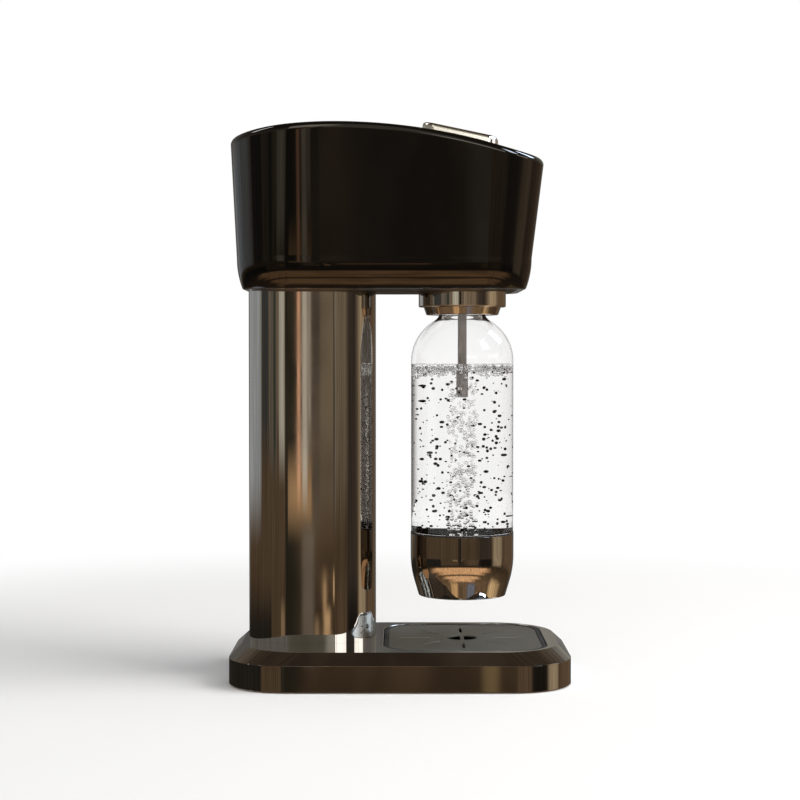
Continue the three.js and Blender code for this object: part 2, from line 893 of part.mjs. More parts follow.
// The lever is a channel: a web below and two flanges, which rise to the eyes of the pivot.
function makeLeverArm() {
  const rear = pivotX - pivotEye;
  const front = buttonFront - buttonWall - buttonPlay * 2;
  const eyeFront = columnX - rodCapRadius;
  const side = new THREE.Shape();
  side.moveTo(pivotX, leverLow);
  side.lineTo(front, leverLow);
  side.lineTo(front, leverTop);
  side.lineTo(eyeFront, leverTop);
  side.lineTo(pivotX + pivotEye, pivotZ);
  side.absarc(pivotX, pivotZ, pivotEye, 0, Math.PI);
  side.lineTo(rear, leverLow + pivotEye);
  side.closePath();
  const half = leverWidth / 2 - leverWall;
  const trough = block(rear - overrun, front - leverWall, half, leverLow + leverWall, headPeak);
  return cut(sidePiece(side, leverWidth), trough, barY(pivotPinRadius + gap, leverWidth, pivotX, pivotZ));
}

function makeLeverBracket() {
  const low = hubLow + bellRoof + gap;
  const rear = pivotX - bracketLength / 2;
  const front = pivotX + bracketLength / 2;
  const inner = leverWidth / 2 + gap * 2;
  const side = new THREE.Shape();
  side.moveTo(rear, low);
  side.lineTo(front, low);
  side.lineTo(pivotX + pivotEye, pivotZ);
  side.absarc(pivotX, pivotZ, pivotEye, 0, Math.PI);
  side.closePath();
  const trough = block(rear - overrun, front + overrun, inner, low + bracketWall, headPeak);
  return cut(
    sidePiece(side, (inner + bracketWall) * 2),
    trough,
    barY(pivotPinRadius + gap, leverWidth, pivotX, pivotZ),
  );
}

function makeLeverPin() {
  return barY(pivotPinRadius, leverWidth / 2 + bracketWall * 2, pivotX, pivotZ);
}

// The button is a cap that leans to the front, with two ribs that stand in the lever.
function buttonTopAt(x) {
  return headTopAt(bottleX, 0) + buttonProud - buttonSlope * (x - (buttonRear + buttonFront) / 2);
}

function makeButtonCap() {
  const low = headTopAt(bottleX, 0) - buttonSkirt;
  const outer = [ring(buttonPlan, low)];
  for (let i = 0; i <= filletSteps; i++) {
    const turn = (Math.PI / 2) * (i / filletSteps);
    const drop = buttonEdge * (1 - Math.sin(turn));
    const inset = buttonEdge * (1 - Math.cos(turn));
    outer.push(ring(insetPlan(buttonPlan, inset), (x) => buttonTopAt(x) - drop));
  }
  const innerPlan = insetPlan(buttonPlan, buttonWall);
  const innerTop = (x) => buttonTopAt(x) - buttonWall - buttonEdge / 2;
  const inner = loft([ring(innerPlan, low - overrun), ring(innerPlan, innerTop)]);
  const ribHalf = leverWidth / 2 - leverWall - gap;
  const ribLow = leverLow + leverWall + gap;
  let body = cut(loft(outer), inner);
  for (const middle of [buttonRear + buttonRibInset, buttonFront - buttonRibInset]) {
    const top = buttonTopAt(middle) - buttonWall;
    body = join(body, block(middle - buttonRibWall / 2, middle + buttonRibWall / 2, ribHalf, ribLow, top));
  }
  return body;
}

// The collar shows two steps below the head, and inside it are the thread ring and the gasket.
function makeBottleCollar() {
  const bore = threadRingRadius + gap;
  const mouth = neckRadius + gap * 2;
  const chamfer = collarStepHeight / 8;
  return turned([
    [mouth, collarLow],
    [collarStepLowRadius - chamfer, collarLow],
    [collarStepLowRadius, collarLow + chamfer],
    [collarStepRadius, collarStepTop],
    [collarRadius - chamfer, collarStepTop],
    [collarRadius, collarStepTop + chamfer],
    [collarRadius, collarTop],
    [bore, collarTop],
    [bore, collarLow + collarLip],
    [mouth, collarLow + collarLip],
    [mouth, collarLow],
  ]);
}

function makeThreadRing() {
  const low = collarLow + collarLip + gap;
  const body = disc(threadRingRadius, low, collarTop, midSteps);
  return cut(body, disc(neckRadius + gap * 2, low - overrun, collarTop + overrun, midSteps));
}

function makeBottleGasket() {
  const top = gasketLow + gasketHeight;
  const body = disc(neckRadius, gasketLow, top, midSteps);
  return cut(body, disc(gasketBoreRadius, gasketLow - overrun, top + overrun, midSteps));
}

function makeNozzleBlock() {
  const bodyLow = chassisTop + gap;
  const top = bodyLow + nozzleBodyHeight;
  const socket = tubeRadius + gap;
  return turned([
    [0, nozzleLow + tubeSocket],
    [socket, nozzleLow + tubeSocket],
    [socket, nozzleLow],
    [neckRadius, nozzleLow],
    [neckRadius, bodyLow],
    [nozzleBodyRadius, bodyLow],
    [nozzleBodyRadius, top - nozzleEdge],
    [nozzleBodyRadius - nozzleEdge, top],
    [0, top],
  ], midSteps);
}

function makeReliefValve() {
  const low = chassisTop + gap + nozzleBodyHeight + gap;
  return join(
    disc(reliefRadius, low, low + reliefHeight - reliefCapHeight, nutSides),
    disc(reliefCapRadius, low + reliefHeight - reliefCapHeight * 1.5, low + reliefHeight, smallSteps),
  );
}

function makeNozzleTube() {
  const top = nozzleLow + tubeSocket - gap;
  const low = top - tubeLength;
  const tip = (tubeRadius - tubeBoreRadius) / 2;
  return turned(
    [
      [tubeBoreRadius, low],
      [tubeRadius - tip, low],
      [tubeRadius, low + tip],
      [tubeRadius, top],
      [tubeBoreRadius, top],
      [tubeBoreRadius, low],
    ],
    smallSteps,
  );
}

function makeTubeNut() {
  const top = nozzleLow - gap;
  return cut(
    disc(nutRadius, top - nutHeight, top, nutSides),
    disc(tubeRadius + gap, top - nutHeight - overrun, top + overrun, smallSteps),
  );
}

const rearPortX = columnX + hubRadius + gap;
const rearPortZ = hubTop - hosePortDrop;
const frontPortX = bottleX - nozzleBodyRadius - gap;
const frontPortZ = chassisTop + nozzleBodyHeight - nozzlePortDrop;
const fittingReach = fittingLength + barbLength;

function makeRearFitting() {
  const body = barX(fittingRadius, rearPortX, rearPortX + fittingLength, rearPortZ);
  return join(body, barX(barbRadius, rearPortX + fittingLength / 2, rearPortX + fittingReach, rearPortZ));
}

function makeFrontFitting() {
  const body = barX(fittingRadius, frontPortX - fittingLength, frontPortX, frontPortZ);
  return join(body, barX(barbRadius, frontPortX - fittingReach, frontPortX - fittingLength / 2, frontPortZ));
}

function makeGasHose() {
  const rear = new THREE.Vector3(rearPortX + fittingReach + gap, 0, rearPortZ);
  const front = new THREE.Vector3(frontPortX - fittingReach - gap, 0, frontPortZ);
  const path = new THREE.CubicBezierCurve3(
    rear,
    rear.clone().setX(rear.x + hoseBend),
    front.clone().setX(front.x - hoseBend),
    front,
  );
  const section = new THREE.Shape();
  for (let i = 0; i < hoseSides; i++) {
    const turn = (i / hoseSides) * Math.PI * 2;
    const point = [hoseRadius * Math.cos(turn), hoseRadius * Math.sin(turn)];
    if (i === 0) section.moveTo(...point);
    else section.lineTo(...point);
  }
  section.closePath();
  const settings = { steps: hoseSteps, extrudePath: path, bevelEnabled: false };
  return solid(new THREE.ExtrudeGeometry(section, settings));
}

// The bottle: an open neck, a round shoulder, a straight body and a foot that stands in the cup.
function makeBottleShell() {
  const foot = bottleLow + cupFloorWall + gap;
  const cupRim = bottleLow + cupHeight;
  const inCup = bottleRadius + cupProud - cupWall - gap;
  const shellFootRadius = cupFloorRadius - cupWall - gap * 2;
  const coneTop = bottleLow + cupConeHeight;
  const shoulderFoot = neckTop - neckHeight - bottleShoulderRise;
  const neckTurn = Math.acos(neckRadius / bottleRadius);
  const shoulderSteps = filletSteps + 2;
  const outer = [
    [0, foot + bottleDimple],
    [shellFootRadius / 2, foot + bottleDimple / 2],
    [shellFootRadius - bottleWall * 3, foot],
    [shellFootRadius - bottleWall, foot],
    [shellFootRadius, foot + bottleWall],
    [inCup, coneTop],
    [inCup, cupRim + gap],
    [bottleRadius, cupRim + gap + cupWall],
  ];
  for (let i = 0; i <= shoulderSteps; i++) {
    const turn = neckTurn * (i / shoulderSteps);
    outer.push([bottleRadius * Math.cos(turn), shoulderFoot + bottleShoulderRise * Math.sin(turn)]);
  }
  outer.push([neckRadius, neckTop]);
  const inner = [[neckRadius - neckWall, neckTop]];
  const bodyRadius = bottleRadius - bottleWall;
  const innerTurn = Math.acos((neckRadius - neckWall) / bodyRadius);
  for (let i = shoulderSteps; i >= 0; i--) {
    const turn = innerTurn * (i / shoulderSteps);
    const rise = (bottleShoulderRise - bottleWall) * Math.sin(turn);
    inner.push([bodyRadius * Math.cos(turn), shoulderFoot + rise]);
  }
  inner.push([bodyRadius, cupRim + gap + cupWall + bottleWall]);
  inner.push([inCup - bottleWall, cupRim + gap]);
  inner.push([inCup - bottleWall, coneTop + bottleWall / 2]);
  inner.push([shellFootRadius - bottleWall, foot + bottleWall * 2]);
  inner.push([shellFootRadius / 2, foot + bottleDimple / 2 + bottleWall]);
  inner.push([0, foot + bottleDimple + bottleWall]);
  return turned([...outer, ...inner]);
}

function makeBottleCup() {
  const radius = bottleRadius + cupProud;
  const top = bottleLow + cupHeight;
  const coneTop = bottleLow + cupConeHeight;
  return turned([
    [0, bottleLow],
    [cupFloorRadius - cupEdge, bottleLow],
    [cupFloorRadius, bottleLow + cupEdge],
    [radius, coneTop],
    [radius, top],
    [radius - cupWall, top],
    [radius - cupWall, coneTop],
    [cupFloorRadius - cupWall, bottleLow + cupFloorWall],
    [0, bottleLow + cupFloorWall],
  ]);
}

const machine = new THREE.Group();

const base = new THREE.Group();
addPiece(base, "base_shell", makeBaseShell(), blackChrome);
addPiece(base, "base_plate", makeBasePlate(), blackPlastic);
footPlaces.forEach(([x, y], i) => {
  addPiece(base, "foot_" + (i + 1), makeFoot(), rubber).position.set(x, y, 0);
});
bossPlaces.forEach(([x, y], i) => {
  const seat = baseLift + screwHeadHeight - gap;
  addPiece(base, "base_screw_" + (i + 1), makeScrew(screwLength), steel).position.set(x, y, seat);
});
addPiece(base, "dish_seat", makeDishSeat(), blackPlastic);
addPiece(base, "drip_dish", makeDripDish(), blackPlastic);
addPiece(base, "drip_grille", makeDripGrille(), bronzeGrey);
machine.add(base);

// What stands on the axis of the column and its gas cylinder.
const columnAxis = new THREE.Group();
columnAxis.position.x = columnX;
addPiece(columnAxis, "column_shell", makeColumnShell(), blackChrome);
const footLow = baseHeight + gap;
addPiece(columnAxis, "column_foot", makeGuide(footLow, footLow + columnFootHeight), blackPlastic);
addPiece(columnAxis, "column_head", makeGuide(collarTop - columnHeadHeight, collarTop), blackPlastic);
addPiece(columnAxis, "cylinder_bottle", makeCylinderBottle(), aluminium);
addPiece(columnAxis, "cylinder_valve", makeCylinderValve(), brass);
addPiece(columnAxis, "valve_pin", makeValvePin(), steel);
addPiece(columnAxis, "valve_block", makeValveBlock(), aluminium);
addPiece(columnAxis, "cylinder_seal", makeCylinderSeal(), rubber);
addPiece(columnAxis, "push_rod", makePushRod(), steel);
addPiece(columnAxis, "lever_spring", makeLeverSpring(), steel);
machine.add(columnAxis);

const head = new THREE.Group();
addPiece(head, "head_chassis", makeChassis(), steel);
addPiece(head, "head_shell", makeHeadShell(), darkGloss);
addPiece(head, "head_undercover", makeUndercover(), darkGloss);
headScrewPlaces.forEach(([x, y], i) => {
  const length = chassisThickness + headBossHeight - screwHeadHeight * 2;
  addPiece(head, "head_screw_" + (i + 1), makeScrew(length), steel).position.set(x, y, chassisLow - gap);
});
addPiece(head, "lever_bracket", makeLeverBracket(), steel);
addPiece(head, "lever_pin", makeLeverPin(), steel);
addPiece(head, "lever_arm", makeLeverArm(), steel);
addPiece(head, "button_cap", makeButtonCap(), nickel);
addPiece(head, "hose_fitting_rear", makeRearFitting(), brass);
addPiece(head, "hose_fitting_front", makeFrontFitting(), brass);
addPiece(head, "gas_hose", makeGasHose(), blackPlastic);
machine.add(head);

// What stands on the axis of the bottle.
const bottleAxis = new THREE.Group();
bottleAxis.position.x = bottleX;
addPiece(bottleAxis, "bottle_collar", makeBottleCollar(), blackChrome);
addPiece(bottleAxis, "thread_ring", makeThreadRing(), blackPlastic);
addPiece(bottleAxis, "bottle_gasket", makeBottleGasket(), rubber);
addPiece(bottleAxis, "nozzle_block", makeNozzleBlock(), blackPlastic);
addPiece(bottleAxis, "relief_valve", makeReliefValve(), brass);
addPiece(bottleAxis, "nozzle_tube", makeNozzleTube(), tubeGrey);
addPiece(bottleAxis, "tube_nut", makeTubeNut(), blackPlastic);
addPiece(bottleAxis, "bottle_shell", makeBottleShell(), clearPlastic);
addPiece(bottleAxis, "bottle_cup", makeBottleCup(), blackChrome);
machine.add(bottleAxis);

export default machine;
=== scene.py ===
import math

import bpy
import numpy as np
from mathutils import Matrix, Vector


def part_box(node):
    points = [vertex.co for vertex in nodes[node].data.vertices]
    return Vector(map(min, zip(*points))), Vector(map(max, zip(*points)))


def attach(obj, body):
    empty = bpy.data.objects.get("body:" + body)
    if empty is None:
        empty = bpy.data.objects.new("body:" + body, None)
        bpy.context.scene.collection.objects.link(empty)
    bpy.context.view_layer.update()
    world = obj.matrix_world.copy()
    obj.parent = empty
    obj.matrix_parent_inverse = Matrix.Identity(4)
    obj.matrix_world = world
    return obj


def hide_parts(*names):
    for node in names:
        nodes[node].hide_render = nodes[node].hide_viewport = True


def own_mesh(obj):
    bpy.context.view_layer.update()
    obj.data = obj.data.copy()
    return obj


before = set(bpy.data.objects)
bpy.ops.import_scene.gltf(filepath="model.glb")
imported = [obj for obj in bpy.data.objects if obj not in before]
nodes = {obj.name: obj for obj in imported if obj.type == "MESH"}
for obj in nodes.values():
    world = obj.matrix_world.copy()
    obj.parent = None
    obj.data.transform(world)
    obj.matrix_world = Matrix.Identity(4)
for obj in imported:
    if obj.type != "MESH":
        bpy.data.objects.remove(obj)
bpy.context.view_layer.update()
mm = 0.001  # the pieces below are worked out in millimetres, the stage in metres


def cadBoxOf(name):  # lowest and highest corner of a CAD node, in millimetres
    low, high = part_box(name)
    return np.array(low) / mm, np.array(high) / mm


def cadMiddle(name):
    low, high = cadBoxOf(name)
    return (low + high) / 2


# Meshes from arrays

sharpAngle = 38.0  # degrees from which an edge shades sharp


# Corners become faces: each row of quads or triangles lists the points round one face, anticlockwise from
# outside.
def makePiece(name, points, quads=(), triangles=(), sharpFrom=sharpAngle):
    points = np.asarray(points, float).reshape(-1, 3) * mm
    quads = np.asarray(quads, int).reshape(-1, 4)
    triangles = np.asarray(triangles, int).reshape(-1, 3)
    mesh = bpy.data.meshes.new(name)
    mesh.vertices.add(len(points))
    mesh.vertices.foreach_set("co", points.ravel())
    corners = np.concatenate([quads.ravel(), triangles.ravel()])
    sizes = np.concatenate([np.full(len(quads), 4), np.full(len(triangles), 3)])
    mesh.loops.add(len(corners))
    mesh.loops.foreach_set("vertex_index", corners)
    mesh.polygons.add(len(sizes))
    mesh.polygons.foreach_set("loop_start", np.concatenate([[0], np.cumsum(sizes)[:-1]]))
    mesh.polygons.foreach_set("use_smooth", np.ones(len(sizes), bool))
    mesh.update(calc_edges=True)
    mesh.validate()
    mesh.set_sharp_from_angle(angle=math.radians(sharpFrom))
    piece = bpy.data.objects.new(name, mesh)
    bpy.context.scene.collection.objects.link(piece)
    return piece


# Faces between rings of points: ring i is joined to ring i + 1 point by point, and each ring closes on
# itself. loop joins the last ring to the first, like a tyre. A fan closes the first or the last ring to a
# pole, and the poles come after the points of the rings.
def ringFaces(rows, columns, lowFan, highFan, loop=False):
    index = np.arange(rows * columns).reshape(rows, columns)
    beside = np.roll(index, -1, axis=1)
    quads = np.stack([index, beside, np.roll(beside, -1, axis=0), np.roll(index, -1, axis=0)], axis=-1)
    low = np.stack([np.full(columns, index.size), beside[0], index[0]], axis=-1)
    high = np.stack([np.full(columns, index.size + lowFan), index[-1], beside[-1]], axis=-1)
    fans = [fan for fan, wanted in ((low, lowFan), (high, highFan)) if wanted]
    return quads if loop else quads[:-1], np.concatenate(fans) if fans else ()


def skinOver(name, rings, lowPole=None, highPole=None, loop=False):
    rings = np.asarray(rings, float)
    poles = [[pole] for pole in (lowPole, highPole) if pole is not None]
    quads, fans = ringFaces(*rings.shape[:2], lowPole is not None, highPole is not None, loop)
    return makePiece(name, np.concatenate([rings.reshape(-1, 3), *poles]), quads, fans)


# an arc takes up to this share of a side, has at least this reach, and leaves this much room beside it
arcLimits = {"share": 0.48, "reach": 1e-4, "room": 0.01}


# Rounds the corners of an open line of (across, up, radius): each corner becomes an arc that touches both of
# its sides, with a point close before and after it so that the flat stretches shade flat.
def rounded(corners, bend=7, hold=0.12):
    corners = [tuple(corner) + (0.0,) * (3 - len(corner)) for corner in corners]
    line = [np.array(corners[0][:2])]
    for before, corner, after in zip(corners, corners[1:], corners[2:]):
        here = np.array(corner[:2])
        arriving = here - np.array(before[:2])
        leaving = np.array(after[:2]) - here
        room = arcLimits["share"] * min(np.hypot(*arriving), np.hypot(*leaving))
        arriving = arriving / np.hypot(*arriving)
        leaving = leaving / np.hypot(*leaving)
        turn = math.atan2(arriving[0] * leaving[1] - arriving[1] * leaving[0], arriving @ leaving)
        reach = min(corner[2] * abs(math.tan(turn / 2)), room)
        if reach < arcLimits["reach"]:
            line.append(here)
            continue
        radius = reach / abs(math.tan(turn / 2))
        start = here - arriving * reach
        inward = np.array([-arriving[1], arriving[0]]) * math.copysign(1, turn)
        angles = turn * np.linspace(0, 1, bend)
        spin = np.array([[np.cos(angles), -np.sin(angles)], [np.sin(angles), np.cos(angles)]])
        arc = start + inward * radius + np.einsum("ijk,j->ki", spin, -inward * radius)
        close = min(hold, room - reach + arcLimits["room"])
        line.extend([start - arriving * close, *arc, here + leaving * (reach + close)])
    line.append(np.array(corners[-1][:2]))
    return np.array(line)


# A profile of radius and height turned about an upright axis: x = radius cos t, y = radius sin t.
def turnedPiece(name, profile, x, steps=128, loop=False):
    profile = np.asarray(profile, float)
    turn = np.linspace(0, 2 * math.pi, steps, endpoint=False)
    onAxis = profile[:, 0] < 1e-6
    lowPole = (x, 0, profile[0, 1]) if onAxis[0] else None
    highPole = (x, 0, profile[-1, 1]) if onAxis[-1] else None
    profile = profile[~onAxis]
    across = profile[:, :1]
    rings = np.stack([x + across * np.cos(turn), across * np.sin(turn),
                      np.repeat(profile[:, 1:], steps, axis=1)], axis=-1)
    return skinOver(name, rings, lowPole, highPole, loop)


def evenShares(count, close):  # shares of a way, with the first and the last close to its ends
    return np.concatenate([[close], np.linspace(0, 1, count)[1:-1], [1 - close]])


def planOf(low, high, radius, grow=0.0):  # a CAD box from above, with round corners, grown by an even amount
    return {"rear": low[0] - grow, "front": high[0] + grow, "half": high[1] + grow,
            "rearRadius": radius, "frontRadius": radius}


ringCounts = {"corner": 26, "side": 34, "end": 8}
ringClose = {"side": 0.003, "end": 0.01}  # how close to the quarter circles the nearest points lie, as shares
leastRadius = 0.3  # of a corner that is drawn in


# A rounded oblong from above, anticlockwise from the front middle: quarter circles joined by straight sides,
# all drawn in by an even amount. Points crowd beside the quarter circles.
def planRing(plan, by=0.0):
    rear, front, half = plan["rear"] + by, plan["front"] - by, plan["half"] - by
    frontRadius = max(plan["frontRadius"] - by, leastRadius)
    rearRadius = max(plan["rearRadius"] - by, leastRadius)
    turn = np.linspace(0, math.pi / 2, ringCounts["corner"])
    side = evenShares(ringCounts["side"], ringClose["side"])
    end = np.concatenate([np.linspace(0, 1, ringCounts["end"])[:-1], [1 - ringClose["end"]]])
    x = np.concatenate([
        np.full(len(end), front),
        front - frontRadius * (1 - np.cos(turn)),
        front - frontRadius + (rear + rearRadius - front + frontRadius) * side,
        rear + rearRadius * (1 - np.sin(turn)),
        np.full(len(end) - 1, rear),
    ])
    y = np.concatenate([
        (half - frontRadius) * end,
        half - frontRadius * (1 - np.sin(turn)),
        np.full(len(side), half),
        half - rearRadius * (1 - np.cos(turn)),
        (half - rearRadius) * end[:0:-1],
    ])
    x = np.concatenate([x, [rear], x[:0:-1]])
    y = np.concatenate([y, [0.0], -y[:0:-1]])
    return np.stack([x, y], axis=-1)


def atHeight(ring, height):  # height is one number, or one for each point
    return np.column_stack([ring, np.broadcast_to(height, len(ring))])


# Rings from one outline to another of as many points, at shares of the way between them.
def between(first, second, shares):
    shares = np.asarray(shares, float)[:, None, None]
    return first + (second - first) * shares


# A round lip down into an opening, as a quarter circle: lip * (1 - sin t) out from the opening, and
# lip * (1 - cos t) below the top.
def lipRings(plan, lip, steps, topAt):
    rings = []
    for turn in np.linspace(0, math.pi / 2, steps):
        ring = planRing(plan, -lip * (1 - math.sin(turn)))
        rings.append(atHeight(ring, topAt(ring) - lip * (1 - math.cos(turn))))
    return rings


# Shader nodes that the finishes, the floor and the room share

def setSocket(tree, socket, value):  # a value is a number, a colour, or the output of another node
    if isinstance(value, bpy.types.NodeSocket):
        tree.links.new(value, socket)
    else:
        socket.default_value = (*value, 1) if socket.type == "RGBA" else value


def addNode(tree, kind, inputs=(), **settings):
    node = tree.nodes.new("ShaderNode" + kind)
    for name, value in settings.items():
        setattr(node, name, value)
    for socket, value in dict(inputs).items():
        setSocket(tree, node.inputs[socket], value)
    return node


def cloudIn(tree, scale, detail, squeeze=(1, 1, 1), coords="Object"):
    where = addNode(tree, "TexCoord").outputs[coords]
    mapped = addNode(tree, "Mapping", {"Vector": where, "Scale": squeeze}).outputs["Vector"]
    return addNode(tree, "TexNoise", {"Vector": mapped, "Scale": scale, "Detail": detail}).outputs["Fac"]


def ramped(tree, value, start, end, low=0.0, high=1.0, smooth=False):  # low up to start, high from end on
    inputs = {"Value": value, "From Min": start, "From Max": end, "To Min": low, "To Max": high}
    way = "SMOOTHSTEP" if smooth else "LINEAR"
    return addNode(tree, "MapRange", inputs, interpolation_type=way).outputs[0]


def mixed(tree, factor, first, second):  # a colour that runs from first to second
    inputs = {"Factor": factor, "A": first, "B": second}
    return addNode(tree, "Mix", inputs, data_type="RGBA").outputs["Result"]


# Finishes

cloudRange = (0.3, 0.7)  # the part of a cloud's values that is put to use


# A finish is the shader's plain values with up to three clouds over them: one runs the colour from dark to
# light, one runs the roughness, and one lifts the surface. A cloud is its scale, its detail and its squeeze.
def newFinish(name, sockets, colour=None, roughness=None, relief=None):
    material = bpy.data.materials.new(name)
    material.use_nodes = True
    tree = material.node_tree
    shader = tree.nodes["Principled BSDF"]
    clouds = {}

    def cloudAt(cloud):
        if cloud not in clouds:
            clouds[cloud] = cloudIn(tree, *cloud)
        return clouds[cloud]

    for socket, value in sockets.items():
        setSocket(tree, shader.inputs[socket], value)
    if colour:
        cloud, dark, light = colour
        share = ramped(tree, cloudAt(cloud), *cloudRange)
        setSocket(tree, shader.inputs["Base Color"], mixed(tree, share, dark, light))
    if roughness:
        cloud, low, high = roughness
        setSocket(tree, shader.inputs["Roughness"], ramped(tree, cloudAt(cloud), *cloudRange, low, high))
    if relief:
        cloud, depth = relief
        bump = addNode(tree, "Bump", {"Height": cloudAt(cloud), "Strength": 1.0, "Distance": depth * mm})
        setSocket(tree, shader.inputs["Normal"], bump.outputs["Normal"])
    return material


def darkMirror(name, dark, light, roughness):  # warm dark chrome, with the faint haze that handling leaves
    cloud, haze = (9.0, 4.0), (30.0, 5.0)
    return newFinish(name, {"Metallic": 1.0}, (cloud, dark, light), (haze, *roughness))


def blastedMetal(name, dark, light, roughness, depth):  # fine even grain, as sandblasting leaves
    cloud, grain = (22.0, 4.0), (1500.0, 2.0)
    return newFinish(name, {"Metallic": 1.0}, (cloud, dark, light), (cloud, *roughness), (grain, depth))


def brushedMetal(name, dark, light, roughness, squeeze=(1, 1, 40), depth=0.004):  # fine lines one way
    cloud = (60.0, 4.0, squeeze)
    return newFinish(name, {"Metallic": 1.0}, (cloud, dark, light), (cloud, *roughness), (cloud, depth))


def plasticFinish(name, dark, light, roughness, depth):  # moulded plastic with a fine leather grain
    cloud, grain = (35.0, 3.0), (900.0, 3.0)
    return newFinish(name, {"IOR": 1.49}, (cloud, dark, light), (cloud, *roughness), (grain, depth))


def clearFinish(name, tint, ior, **clouds):
    sockets = {"Base Color": tint, "Transmission Weight": 1.0, "IOR": ior, "Roughness": 0.0}
    return newFinish(name, sockets, **clouds)


wallRipple = (45.0, 2.0, (1, 1, 0.35))  # of the blown bottle
darkBubbleCloud = (300.0, 2.0)

finishes = {
    # lacquered plastic, near black
    "gloss": newFinish("gloss_black", {"Base Color": (0.0030, 0.0026, 0.0022),
                                       "Specular Tint": (1.0, 0.90, 0.78), "IOR": 1.5},
                       roughness=((14.0, 5.0), 0.005, 0.015)),
    "chrome": darkMirror("black_chrome", (0.42, 0.395, 0.36), (0.47, 0.445, 0.41), (0.008, 0.028)),
    "collar": darkMirror("collar_chrome", (0.48, 0.445, 0.40), (0.56, 0.52, 0.47), (0.02, 0.05)),
    "nickel": brushedMetal("nickel", (0.70, 0.66, 0.58), (0.80, 0.76, 0.68), (0.16, 0.24), (40, 1, 1), 0.002),
    "bronze": blastedMetal("bronze", (0.325, 0.31, 0.26), (0.395, 0.375, 0.315), (0.34, 0.46), 0.02),
    "brass": brushedMetal("brass", (0.62, 0.45, 0.19), (0.80, 0.60, 0.27), (0.22, 0.38)),
    "steel": brushedMetal("steel", (0.48, 0.47, 0.46), (0.60, 0.59, 0.58), (0.22, 0.40)),
    "aluminium": brushedMetal("aluminium", (0.58, 0.59, 0.60), (0.70, 0.71, 0.72), (0.26, 0.42)),
    "black": plasticFinish("black_plastic", (0.012, 0.012, 0.012), (0.022, 0.021, 0.020), (0.42, 0.58),
                           0.012),
    "tube": plasticFinish("tube_plastic", (0.70, 0.63, 0.59), (0.82, 0.75, 0.72), (0.30, 0.42), 0.006),
    "rubber": plasticFinish("rubber", (0.010, 0.010, 0.010), (0.018, 0.018, 0.017), (0.75, 0.92), 0.03),
    "clear": clearFinish("clear_plastic", (0.992, 0.990, 0.987), 1.3,
                         roughness=(wallRipple, 0.0, 0.015), relief=(wallRipple, 0.04)),
    "water": clearFinish("water", (0.998, 0.999, 1.0), 1.33, relief=((60.0, 2.0), 0.02)),
    # the balls of clear gas face inwards, so this is the water's index again
    "bubble": clearFinish("bubble", (0.995, 0.99, 0.985), 1.33, roughness=((400.0, 2.0), 0.0, 0.04)),
    # painted shade: an opaque near black ball with real gloss, in place of the dark that light bending in a
    # bubble gives
    "darkBubble": newFinish("dark_bubble", {"IOR": 1.45},
                            (darkBubbleCloud, (0.004, 0.004, 0.004), (0.030, 0.028, 0.026)),
                            (darkBubbleCloud, 0.10, 0.25)),
}
print("finishes made:", len(finishes))


def place(piece, body, finish, slot, *replaced):
    piece.data.materials.clear()
    piece.data.materials.append(finishes[finish])
    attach(piece, body)
    if replaced:
        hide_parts(*replaced)
    return piece


# Places that the CAD gives

columnX = cadMiddle("column_shell")[0]
bottleX = cadMiddle("bottle_cup")[0]
headLow, headHigh = cadBoxOf("head_shell")
baseLow, baseHigh = cadBoxOf("base_shell")

# The base

baseLook = {
    "cornerRadius": 46.0,      # of the wall
    "topCornerRadius": 50.0,   # of the flat top
    "upright": 21.0,
    "chamferInset": 9.0,
    "topBand": 3.0,            # plain width of the top inside the chamfer
    "footEdge": 0.3,
    "footRound": 0.15,
    "edge": 0.05,              # round along both sides of the chamfer
    "wall": 2.5,
    "innerBend": 1.2,          # how far the bend inside the wall lies below the one outside
    "pocketDepth": 14.0,
    "pocketRadius": 30.0,
    "pocketEdge": 0.3,
    "pocketWall": 2.0,
    "pocketNeck": (0.4, 2.0),  # the pocket's wall under the roof, and how far down it reaches its full width
    "dishGap": 0.5,
    "lip": 0.5,
    "lipSteps": 5,
    "topShares": [0.1, 0.25, 0.5, 0.75, 0.9, 0.98],  # rings of the flat top, on the way to the lip
    "holeRadius": 30.6,        # for the cylinder, through the underside
    "cutPast": 5.0,            # the cutter's reach beyond the base, both ways
}


# A ring of the base drawn in from its wall. The radius of its corners grows evenly across the chamfer.
def baseRing(inset):
    look = baseLook
    share = min(max(inset, 0.0) / look["chamferInset"], 1.0)
    grown = look["topCornerRadius"] + look["chamferInset"] - look["cornerRadius"]
    return planRing(planOf(baseLow, baseHigh, look["cornerRadius"] + grown * share), inset)


def shownMesh(piece):  # what the modifiers or the curve's settings show, as a mesh
    graph = bpy.context.evaluated_depsgraph_get()
    return bpy.data.meshes.new_from_object(piece.evaluated_get(graph))


# Takes an upright round hole out of a piece. The cutter is a plain round bar, and it is removed afterwards.
def cutRound(piece, x, y, radius, low, high, steps=96):
    turn = np.linspace(0, 2 * math.pi, steps, endpoint=False)
    ring = np.column_stack([x + radius * np.cos(turn), y + radius * np.sin(turn)])
    cutter = skinOver("cutter", [atHeight(ring, low), atHeight(ring, high)], (x, y, low), (x, y, high))
    hole = piece.modifiers.new("hole", "BOOLEAN")
    hole.operation = "DIFFERENCE"
    hole.solver = "EXACT"
    hole.object = cutter
    uncut, piece.data = piece.data, shownMesh(piece)
    piece.modifiers.clear()
    bpy.data.meshes.remove(uncut)
    bpy.data.objects.remove(cutter)
    piece.data.set_sharp_from_angle(angle=math.radians(sharpAngle))
    return piece


